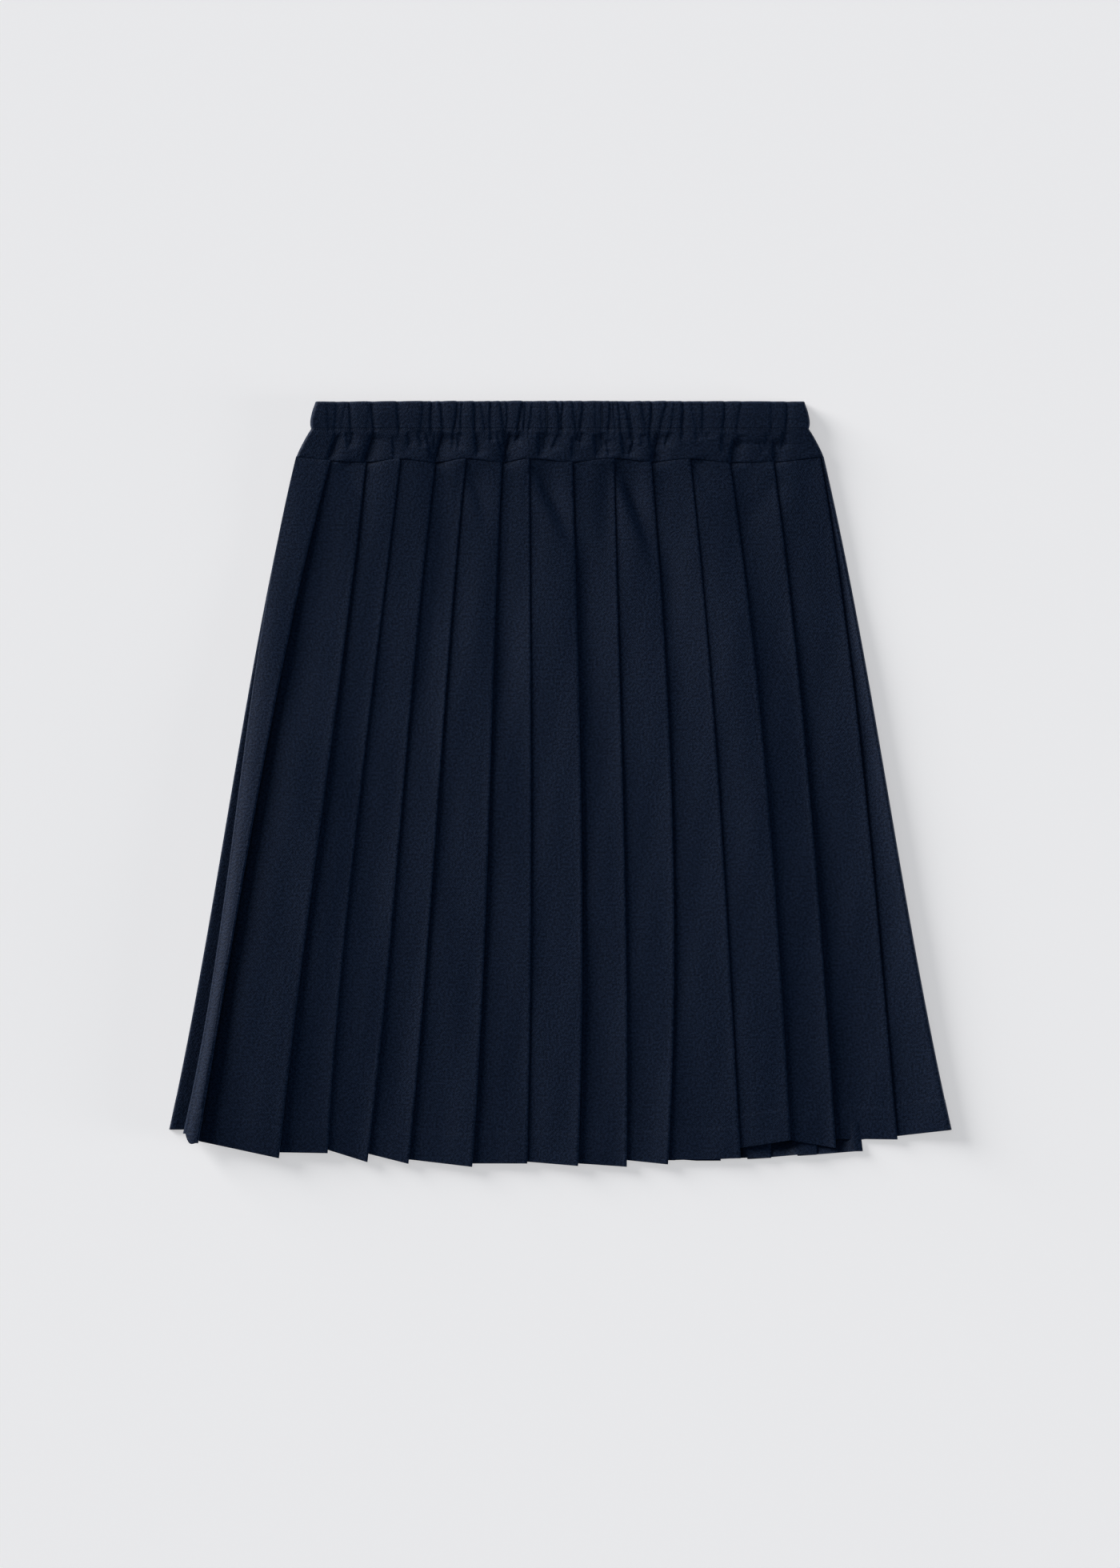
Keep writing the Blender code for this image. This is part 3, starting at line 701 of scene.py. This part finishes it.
def back_pleat(before, fold, v):
    """Points of one back pleat, whose face lies on the floor."""
    tip_y = height_at(fold.tip, v)
    start_y = height_at(SIDE_HEM if before is RIGHT_SIDE else before.tuck, v)
    before_edge = along(before, start_y)
    edge = along(fold, tip_y)
    inner_y = height_at(fold.tuck, v)
    inner = along(fold, inner_y) + underlay(before_edge - edge)
    plies = 0 if before is RIGHT_SIDE else 2
    points = []
    for step in range(BACK_FACE_STEPS):
        share = (step / BACK_FACE_STEPS) ** BACK_CROWD
        x = mix(before_edge - LEAD, edge + BACK_PLY / 2, share)
        z = plies * BACK_PLY * (1 - float(ease((before_edge - LEAD - x) / BACK_RAMP)))
        points.append((x, mix(start_y, tip_y, share), z, 1.0))
    points += turn(edge, tip_y, 0.0, BACK_PLY, -1, INNER_STEPS)
    second = turn(inner, inner_y, BACK_PLY, 2 * BACK_PLY, 1, INNER_STEPS)
    return points + run_between(points[-1], second[0], BACK_UNDER_STEPS) + second


def back_points():
    """Rows of points of the back panel, from right to left."""
    rows = []
    depths = panel_depths()[:-1:2] + [1.0]
    for v in depths:
        side_y = height_at(SIDE_HEM, v)
        row = [(along(RIGHT_SIDE, side_y), side_y, 0.0, 1.0)]
        for before, fold in zip([RIGHT_SIDE] + BACK_FOLDS, BACK_FOLDS):
            row += back_pleat(before, fold, v)
        last = along(BACK_FOLDS[-1], side_y)
        side = along(LEFT_SIDE, side_y)
        for step in range(BACK_SIDE_STEPS):
            x = mix(last - LEAD, side + BACK_LAST, step / BACK_SIDE_STEPS)
            z = 2 * BACK_PLY * (1 - float(ease((last - LEAD - x) / BACK_RAMP)))
            row.append((x, side_y, z, 1.0))
        row += turn(side, side_y, 0.0, 2 * BACK_PLY, -1, BACK_SIDE_STEPS)
        roll = along(LEFT_ROLL, side_y)
        roll_face = along(FRONT_FOLDS[0], side_y) - roll
        end = (roll + ROLL_UNDER * roll_face, side_y, mix(*BACK_END, v) * BACK_PLY, 1.0)
        rows.append(row + run_between(row[-1], end, UNDER_STEPS) + [end])
    points = np.array(rows)
    shown = np.exp(-((points[:, :, 0] - CURL_AT[0]) / CURL_AT[1]) ** 4)
    below = (points[-1:, :, 1] + CURL_DEPTH - points[:, :, 1]) / CURL_DEPTH
    curl = shown * np.clip(below, 0.0, 1.0)
    layers = points[:, :, 2] * (1 - CURL_TIGHT * curl)
    points[:, :, 2] = BACK_BASE + HEM_CURL * curl ** 2 + layers
    points[:, :, 1] += SIDE_RISE * (1 - np.array(depths)[:, None])
    return points[:, :, :3]


# Waistband


def band_value(name, y):
    """A column of the waistband's table at these heights, smoothly between its rows."""
    heights = np.array([row.y for row in BAND])
    values = np.array([getattr(row, name) for row in BAND])
    slopes = np.gradient(values, heights)
    y = np.clip(y, heights[0], heights[-1])
    upper = np.clip(np.searchsorted(heights, y), 1, len(heights) - 1)
    lower = upper - 1
    step = heights[upper] - heights[lower]
    t = (y - heights[lower]) / step
    return ((1 + 2 * t) * (1 - t) ** 2 * values[lower] + t * (1 - t) ** 2 * step * slopes[lower]
            + t * t * (3 - 2 * t) * values[upper] + t * t * (t - 1) * step * slopes[upper])


def gathers_at(x, y):
    """How far the casing's gathers let it sink at these places."""
    up = (y - STITCH_Y) / (TOP_Y - STITCH_Y)
    below = np.exp(np.minimum(y - STITCH_Y, 0.0) / GATHER_BELOW)
    sunk = np.zeros_like(x)
    for number, gather in enumerate(GATHERS):
        bow = GATHER_BOW * math.sin(GATHER_PHASE * number) * np.sin(np.pi * np.clip(up, 0.0, 1.0))
        middle = mix(gather.bottom, gather.top, np.clip(up, 0.0, 1.0)) + bow
        width = gather.width * (1 + GATHER_UNEVEN * np.sin(2.0 * up + number))
        width *= np.where(x < middle, GATHER_LEFT, GATHER_RIGHT)
        sunk += GATHER_SHARE * gather.depth / (1 + ((x - middle) / width) ** 2)
    return sunk * below


def band_heights():
    """Heights of the rows on the outer face of the waistband, from the seam up."""
    near_seam = SEAM_Y + np.array(YOKE_ROWS)
    above_seam, below_stitches, step = YOKE_RUN
    yoke = np.arange(SEAM_Y + above_seam, STITCH_Y - below_stitches, step)
    groove = STITCH_Y + np.array(GROOVE_ROWS)
    above_stitches, step = CASING_RUN
    casing = np.arange(STITCH_Y + above_stitches, BAND[-1].y, step)
    return np.concatenate([near_seam, yoke, groove, casing])


def wall_section(x, y, outer, inner):
    """Rows of points round a wall: up its outer face, over its upper edge, down its inner."""
    arc = np.radians(np.linspace(*TOP_ARC))[:, None]
    middle = (outer[-1] + inner[-1]) / 2
    half = (outer[-1] - inner[-1]) / 2
    over_y = y[-1] + TOP_EDGE * np.cos(arc)
    over_z = middle + half * np.sin(arc)
    down = np.linspace(len(y) - 1, 0, INNER_ROWS).astype(int)
    rows_y = np.vstack([y, over_y, y[down]])
    rows_z = np.vstack([outer, over_z, inner[down]])
    rows_x = np.vstack([x, np.repeat(x[-1:], len(arc), axis=0), x[down]])
    return np.stack([rows_x, rows_y, rows_z], axis=-1)


def band_ends(y):
    """Half width of the flat stretch of each row, short of its turn from front to back."""
    return band_value("side", y) - BAND_TURN * (band_value("outer", y) - FLOOR_CLEAR) / 2


def wall_places(heights, step, way):
    """Places in rows across one wall of the waistband, to the right with way 1, else to the
    left: x, height of the row, and share that a gather has of its depth."""
    places = way * np.linspace(-1, 1, int(2 * RIGHT_SIDE.seam / step))
    y = np.repeat(heights[:, None], len(places), axis=1)
    return places * band_ends(y), y, ease((1 - np.abs(places)) * SIDE_FADE)


def top_drop(x, y):
    """How much lower the rows near the upper edge run towards both sides."""
    near_top = np.clip((y - STITCH_Y) / TOP_DROP_OVER, 0, 1)
    return BAND_TOP_DROP * (x / RIGHT_SIDE.seam) ** 2 * near_top


def band_front(heights):
    """The front wall's rows and columns of points, from left to right."""
    x, y, depth = wall_places(heights, BAND_STEP, 1)
    crest = band_value("crest", y)
    real_y = y + crest * seam_rise(x) - top_drop(x, y)
    sunk = depth * (gathers_at(x, real_y) + creases_at(x, real_y))
    stand = crest * (SEAM_LOFT + CREST_STAND * crest_at(x, sharp=1.0) * depth)
    groove_width = np.where(y > STITCH_Y, GROOVE_ABOVE, GROOVE_BELOW)
    groove = GROOVE_DEPTH * np.exp(-((y - STITCH_Y) / groove_width) ** 2)
    turned = SEAM_SINK * fade(y - SEAM_Y, SEAM_TURN)
    outer = band_value("outer", y) + stand - sunk - groove - turned
    inner = np.minimum(band_value("inner", y) + stand, outer - THIN_WALL)
    real_y[-1] -= TOP_BUMPS * sunk[-1]
    return wall_section(x, real_y, outer, inner)


def band_back(heights):
    """The back wall's rows and columns of points, from right to left."""
    x, y, depth = wall_places(heights, BAND_BACK_STEP, -1)
    real_y = y + band_value("crest", y) * SIDE_RISE - top_drop(x, y)
    sunk = BACK_GATHERS * depth * gathers_at(-x, y)
    inner = band_value("back", y)
    outer = np.minimum(FLOOR_CLEAR + sunk, inner - THIN_WALL)
    real_y[-1] -= TOP_BUMPS * sunk[-1]
    return wall_section(x, real_y, outer, inner)


def band_turns(front, back, side):
    """Sections that lead the ring round one side, from the wall it comes from to the next."""
    sections = []
    middle_z = (front[:, 2] + back[:, 2]) / 2
    half = (front[:, 2] - back[:, 2]) / 2
    for angle in np.radians(np.linspace(*TURN_ARC)):
        x = front[:, 0] + side * BAND_TURN * np.abs(half) * np.cos(angle)
        y = mix(back[:, 1], front[:, 1], 0.5 + 0.5 * np.sin(angle))
        sections.append(np.stack([x, y, middle_z + half * np.sin(angle)], axis=-1))
    return sections


def band_sections():
    """Closed sections of the waistband's wall, all the way round the ring and back."""
    heights = band_heights()
    front = band_front(heights)
    back = band_back(heights)
    sections = list(np.swapaxes(front, 0, 1))
    sections += band_turns(front[:, -1], back[:, 0], 1)
    sections += list(np.swapaxes(back, 0, 1))
    sections += band_turns(front[:, 0], back[:, -1], -1)[::-1]
    ring = np.array(sections + sections[:1])
    return np.concatenate([ring, ring[:, :1]], axis=1)


# Meshes


def only(piece):
    """Selects this object alone."""
    bpy.ops.object.select_all(action="DESELECT")
    piece.select_set(True)
    bpy.context.view_layer.objects.active = piece


def lay_cloth(piece, cloth):
    """Gives each point its place on the flat cloth, in metres."""
    layer = piece.data.uv_layers[0]
    layer.name = "cloth"
    corners = np.empty(len(piece.data.loops), dtype=np.int32)
    piece.data.loops.foreach_get("vertex_index", corners)
    layer.data.foreach_set("uv", (cloth.reshape(-1, 2)[corners] * MM).ravel())


def laid_grid(name, points, cloth):
    """A grid with its vertices moved to these rows of points, each with its place on the cloth."""
    bpy.ops.object.select_all(action="DESELECT")
    rows, columns = points.shape[:2]
    bpy.ops.mesh.primitive_grid_add(x_subdivisions=columns - 1, y_subdivisions=rows - 1, size=1)
    piece = bpy.context.object
    piece.name = name
    piece.data.name = name
    piece.data.vertices.foreach_set("co", (points * MM).ravel())
    piece.data.update()
    lay_cloth(piece, cloth)
    return piece


def face_outwards(piece, merge=False):
    """Turns all faces of a closed mesh outwards, once its ends have met."""
    only(piece)
    bpy.ops.object.mode_set(mode="EDIT")
    bpy.ops.mesh.select_all(action="SELECT")
    if merge:
        bpy.ops.mesh.remove_doubles(threshold=MEET)
    bpy.ops.mesh.normals_make_consistent(inside=False)
    bpy.ops.object.mode_set(mode="OBJECT")


def cloth_places(points):
    """Places on the flat cloth: the way along each row, from its middle, and down the panel."""
    steps = np.hypot(np.diff(points[:, :, 0]), np.diff(points[:, :, 2]))
    way = np.concatenate([np.zeros((len(points), 1)), np.cumsum(steps, axis=1)], axis=1)
    way -= way[:, -1:] / 2
    return np.stack([way, points[:, :, 1]], axis=-1)


def panel_piece(name, points, settings, node):
    """A pleated panel: a grid laid through its points, thickened to cloth with a turned hem."""
    piece = laid_grid(name, points, cloth_places(points))
    hem = piece.vertex_groups.new(name="hem")
    above = points[:, :, 1] - points[-1:, :, 1]
    turned = np.flatnonzero(above.ravel() < settings.hem_depth / MM)
    hem.add([int(index) for index in turned], 1.0, "REPLACE")
    wall = piece.modifiers.new("cloth", "SOLIDIFY")
    wall.thickness = settings.hem_wall
    wall.vertex_group = hem.name
    wall.thickness_vertex_group = settings.wall / settings.hem_wall
    wall.offset = 0.0
    wall.use_even_offset = False
    only(piece)
    bpy.ops.object.modifier_apply(modifier=wall.name)
    face_outwards(piece)
    bpy.ops.object.shade_smooth_by_angle(angle=math.radians(SMOOTH_ANGLE))
    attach(piece, "root")
    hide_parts(node)
    return piece


# Materials


class Shader:
    """A new material and short ways to add and join its nodes."""

    def __init__(self, name):
        self.material = bpy.data.materials.new(name)
        self.material.use_nodes = True
        self.tree = self.material.node_tree
        self.surface = self.tree.nodes["Principled BSDF"]

    def node(self, kind, **values):
        node = self.tree.nodes.new(kind)
        for name, value in values.items():
            setattr(node, name, value)
        return node

    def join(self, source, target):
        self.tree.links.new(source, target)

    def math(self, operation, first, second=None):
        node = self.node("ShaderNodeMath", operation=operation)
        for socket, value in zip(node.inputs, (first, second)):
            if isinstance(value, bpy.types.NodeSocket):
                self.join(value, socket)
            elif value is not None:
                socket.default_value = value
        return node.outputs[0]

    def total(self, *layers):
        """Sum of layers, each a value's distance from its middle of 0.5, times a weight."""
        so_far = None
        for value, weight in layers:
            part = self.math("MULTIPLY", self.math("ADD", value, -0.5), weight)
            so_far = part if so_far is None else self.math("ADD", so_far, part)
        return so_far

    def noise(self, coordinates, scale, detail=2.0, roughness=0.5):
        node = self.node("ShaderNodeTexNoise")
        node.inputs["Scale"].default_value = scale
        node.inputs["Detail"].default_value = detail
        node.inputs["Roughness"].default_value = roughness
        self.join(coordinates, node.inputs["Vector"])
        return node.outputs["Fac"]

    def blend(self, factor, first, second):
        node = self.node("ShaderNodeMix", data_type="RGBA")
        self.join(factor, node.inputs["Factor"])
        for socket, value in ((node.inputs["A"], first), (node.inputs["B"], second)):
            if isinstance(value, bpy.types.NodeSocket):
                self.join(value, socket)
            else:
                socket.default_value = value
        return node.outputs["Result"]

    def finish(self, values):
        """Sets the surface's own sockets, and gives back the material."""
        for name, value in values.items():
            self.surface.inputs[name].default_value = value
        return self.material


def twill(name, settings):
    """Navy twill: slanting wales with uneven yarn, mottled, with a matt bloom of fibres."""
    shader = Shader(name)
    place = shader.node("ShaderNodeUVMap", uv_map="cloth").outputs["UV"]
    parts = shader.node("ShaderNodeSeparateXYZ")
    shader.join(place, parts.inputs[0])
    grain = shader.noise(place, 1400.0, roughness=0.7)
    slub = shader.noise(place, 640.0, roughness=0.65)
    patch = shader.noise(place, 34.0)
    across = shader.math("ADD", parts.outputs["X"], parts.outputs["Y"])
    turns = shader.math("MULTIPLY", across, 2 * math.pi / (settings.wale * math.sqrt(2)))
    bent = shader.math("ADD", turns, shader.math("MULTIPLY", slub, 1.6))
    wale = shader.math("MULTIPLY_ADD", shader.math("SINE", bent), 0.5)
    wale.node.inputs[2].default_value = 0.5
    mottle = shader.total((wale, 0.7), (grain, 4.0), (slub, 5.4), (patch, 0.35))
    mottle = shader.math("ADD", mottle, 0.45)
    colour = shader.blend(mottle, (*settings.dark, 1.0), (*settings.light, 1.0))
    shader.join(colour, shader.surface.inputs["Base Color"])
    height = shader.total((wale, 0.5), (grain, 0.8), (slub, 4.0))
    bump = shader.node("ShaderNodeBump")
    bump.inputs["Strength"].default_value = 0.5
    bump.inputs["Distance"].default_value = 0.00022
    shader.join(height, bump.inputs["Height"])
    shader.join(bump.outputs["Normal"], shader.surface.inputs["Normal"])
    return shader.finish({
        "Roughness": 0.66, "Specular IOR Level": 0.165, "Sheen Weight": 0.09,
        "Sheen Roughness": 0.45, "Sheen Tint": (*settings.bloom, 1.0)})


def sewing_thread(name, settings):
    """Twisted thread, a little glossier than the twill."""
    shader = Shader(name)
    place = shader.node("ShaderNodeTexCoord").outputs["Object"]
    twist = shader.noise(place, 2500.0, detail=1.0)
    lighter = tuple(1.6 * value for value in settings.thread)
    colour = shader.blend(twist, (*settings.thread, 1.0), (*lighter, 1.0))
    shader.join(colour, shader.surface.inputs["Base Color"])
    return shader.finish({
        "Roughness": 0.6, "Specular IOR Level": 0.2, "Sheen Weight": 0.08,
        "Sheen Tint": (*settings.bloom, 1.0)})


def lit_paper(name, colour, glow):
    """Matt seamless paper with a faint tooth, lit evenly from below."""
    shader = Shader(name)
    place = shader.node("ShaderNodeTexCoord").outputs["Object"]
    tooth = shader.noise(place, 420.0)
    darker = tuple(0.985 * value for value in colour)
    shade = shader.blend(tooth, (*colour, 1.0), (*darker, 1.0))
    shader.join(shade, shader.surface.inputs["Base Color"])
    return shader.finish({
        "Roughness": 0.95, "Specular IOR Level": 0.1,
        "Emission Color": (*colour, 1.0), "Emission Strength": glow})


# Operators


class SKIRT_OT_front_panel(bpy.types.Operator):
    """Builds the pleated front panel"""

    bl_idname = "skirt.front_panel"
    bl_label = "Front Panel"

    def execute(self, context):
        settings = context.scene.skirt_cloth
        piece = panel_piece("front_panel", front_points(), settings, "skirt_front")
        piece.data.materials.append(twill("front_twill", settings))
        return {"FINISHED"}


class SKIRT_OT_back_panel(bpy.types.Operator):
    """Builds the pleated back panel, which lies on the floor"""

    bl_idname = "skirt.back_panel"
    bl_label = "Back Panel"

    def execute(self, context):
        settings = context.scene.skirt_cloth
        piece = panel_piece("back_panel", back_points(), settings, "skirt_back")
        piece.data.materials.append(twill("back_twill", settings))
        return {"FINISHED"}


class SKIRT_OT_waistband(bpy.types.Operator):
    """Builds the ring of casing and yoke, gathered by its elastic"""

    bl_idname = "skirt.waistband"
    bl_label = "Waistband"

    def execute(self, context):
        settings = context.scene.skirt_cloth
        points = band_sections()
        steps = np.linalg.norm(np.diff(points[:, BAND_GRAIN_ROW], axis=0), axis=1)
        way = np.concatenate([[0.0], np.cumsum(steps)])
        across = np.repeat(way[:, None], points.shape[1], axis=1)
        cloth = np.stack([across, points[:, :, 1]], axis=-1)
        piece = laid_grid("elastic_waistband", points, cloth)
        face_outwards(piece, merge=True)
        bpy.ops.object.shade_smooth()
        piece.data.materials.append(twill("waistband_twill", settings))
        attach(piece, "root")
        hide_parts("waistband")
        return {"FINISHED"}


def stitch_row(name, band, places, settings):
    """One mesh of stitches that lie on the waistband at these places, each (x, y, turn)."""
    bpy.ops.object.select_all(action="DESELECT")
    bpy.ops.mesh.primitive_uv_sphere_add(segments=8, ring_count=6, radius=0.5)
    pattern = bpy.context.object
    bpy.ops.object.mode_set(mode="EDIT")
    bpy.ops.mesh.select_all(action="SELECT")
    bpy.ops.transform.resize(value=(settings.length, settings.thread, settings.thread))
    bpy.ops.object.mode_set(mode="OBJECT")
    bend = 2 * settings.thread / settings.length ** 2
    for vertex in pattern.data.vertices:
        vertex.co.z -= bend * vertex.co.x ** 2
    stitches = []
    for x, y, angle in places:
        above = Vector((x * MM, y * MM, DROP_FROM))
        found, point, normal, _ = band.ray_cast(above, Vector((0, 0, -1)))
        if not found:
            continue
        stitch = bpy.data.objects.new(name, pattern.data.copy())
        bpy.context.scene.collection.objects.link(stitch)
        lean = Vector((0, 0, 1)).rotation_difference(normal).to_matrix().to_4x4()
        place = Matrix.Translation(point + normal * settings.thread * THREAD_OUT)
        stitch.data.transform(place @ lean @ Matrix.Rotation(angle, 4, "Z"))
        stitches.append(stitch)
    bpy.data.objects.remove(pattern)
    bpy.ops.object.select_all(action="DESELECT")
    for stitch in stitches:
        stitch.select_set(True)
    bpy.context.view_layer.objects.active = stitches[0]
    bpy.ops.object.join()
    row = bpy.context.object
    row.name = name
    row.data.name = name
    only(row)
    bpy.ops.object.shade_smooth()
    return row


class SKIRT_OT_stitching(bpy.types.Operator):
    """Sews the casing's row of stitches and the two rows that hold the elastic"""

    bl_idname = "skirt.stitching"
    bl_label = "Stitching"

    def execute(self, context):
        settings = context.scene.skirt_stitch
        band = bpy.data.objects["elastic_waistband"]
        context.view_layer.update()
        end = float(band_ends(STITCH_Y)) + STITCH_PAST
        count = int(2 * end / (settings.pitch / MM))
        casing = []
        for number in range(count + 1):
            y = STITCH_Y + STITCH_WANDER * math.sin(number)
            casing.append((mix(-end, end, number / count), y, 0.0))
        tacks = []
        for row_x in TACK_ROWS:
            for number in range(TACKS):
                x = row_x + TACK_WANDER * math.sin(TACK_PHASE * number)
                lean = math.radians(TACK_LEAN if number % 2 else -TACK_LEAN)
                tacks.append((x, TACK_TOP - TACK_PITCH * number, lean))
        material = sewing_thread("navy_thread", context.scene.skirt_cloth)
        for name, places in (("casing_stitches", casing), ("elastic_tacks", tacks)):
            row = stitch_row(name, band, places, settings)
            row.data.materials.append(material)
            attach(row, "root")
        return {"FINISHED"}


class SKIRT_OT_stage(bpy.types.Operator):
    """Sets up the floor, the lights and the camera"""

    bl_idname = "skirt.stage"
    bl_label = "Stage"

    def execute(self, context):
        settings = context.scene.skirt_stage
        bpy.ops.object.select_all(action="DESELECT")
        bpy.ops.mesh.primitive_plane_add(size=FLOOR_SIZE, location=(0, 0, 0))
        floor = context.object
        floor.name = "floor"
        floor.data.materials.append(lit_paper("floor_paper", tuple(settings.floor), settings.glow))
        for lamp in LIGHTS:
            elevation, azimuth = math.radians(lamp.elevation), math.radians(lamp.azimuth)
            source = Vector((math.cos(elevation) * math.cos(azimuth),
                             math.cos(elevation) * math.sin(azimuth), math.sin(elevation)))
            bpy.ops.object.light_add(type="SUN", location=source)
            light = context.object
            light.name = lamp.name
            light.data.energy = getattr(settings, lamp.name)
            light.data.angle = math.radians(lamp.spread)
            light.visible_glossy = lamp.name == "key_light"
            light.rotation_euler = source.to_track_quat("Z", "Y").to_euler()
        world = bpy.data.worlds.new("room")
        world.use_nodes = True
        background = world.node_tree.nodes["Background"]
        background.inputs["Color"].default_value = ROOM_TINT
        background.inputs["Strength"].default_value = settings.sky
        context.scene.world = world
        bpy.ops.object.camera_add(location=(0, 0, settings.camera_height), rotation=(0, 0, 0))
        camera = context.object
        camera.name = "overhead_camera"
        camera.data.sensor_width = SENSOR
        camera.data.lens = SENSOR * settings.camera_height / settings.view_height
        camera.data.clip_end = 50.0
        context.scene.camera = camera
        context.scene.view_settings.view_transform = "Standard"
        return {"FINISHED"}


class SKIRT_PT_sidebar(bpy.types.Panel):
    """Sizes, colours and the pieces in the order in which they are made"""

    bl_label = "Pleated Skirt"
    bl_idname = "SKIRT_PT_sidebar"
    bl_space_type = "VIEW_3D"
    bl_region_type = "UI"
    bl_category = "Skirt"

    def draw(self, context):
        for group in (context.scene.skirt_cloth, context.scene.skirt_stitch,
                      context.scene.skirt_stage):
            box = self.layout.box()
            for name in group.__annotations__:
                box.prop(group, name)
        for operator in OPERATORS:
            self.layout.operator(operator.bl_idname)


OPERATORS = (
    SKIRT_OT_stage,
    SKIRT_OT_back_panel,
    SKIRT_OT_front_panel,
    SKIRT_OT_waistband,
    SKIRT_OT_stitching,
)
SETTINGS = (
    ("skirt_cloth", ClothSettings),
    ("skirt_stitch", StitchSettings),
    ("skirt_stage", StageSettings),
)


def register():
    for name, group in SETTINGS:
        bpy.utils.register_class(group)
        setattr(bpy.types.Scene, name, bpy.props.PointerProperty(type=group))
    for operator in OPERATORS:
        bpy.utils.register_class(operator)
    bpy.utils.register_class(SKIRT_PT_sidebar)


def unregister():
    bpy.utils.unregister_class(SKIRT_PT_sidebar)
    for operator in reversed(OPERATORS):
        bpy.utils.unregister_class(operator)
    for name, group in reversed(SETTINGS):
        delattr(bpy.types.Scene, name)
        bpy.utils.unregister_class(group)


def main():
    register()
    bpy.ops.skirt.stage()
    bpy.ops.skirt.back_panel()
    bpy.ops.skirt.front_panel()
    bpy.ops.skirt.waistband()
    bpy.ops.skirt.stitching()


if __name__ == "__main__":
    main()
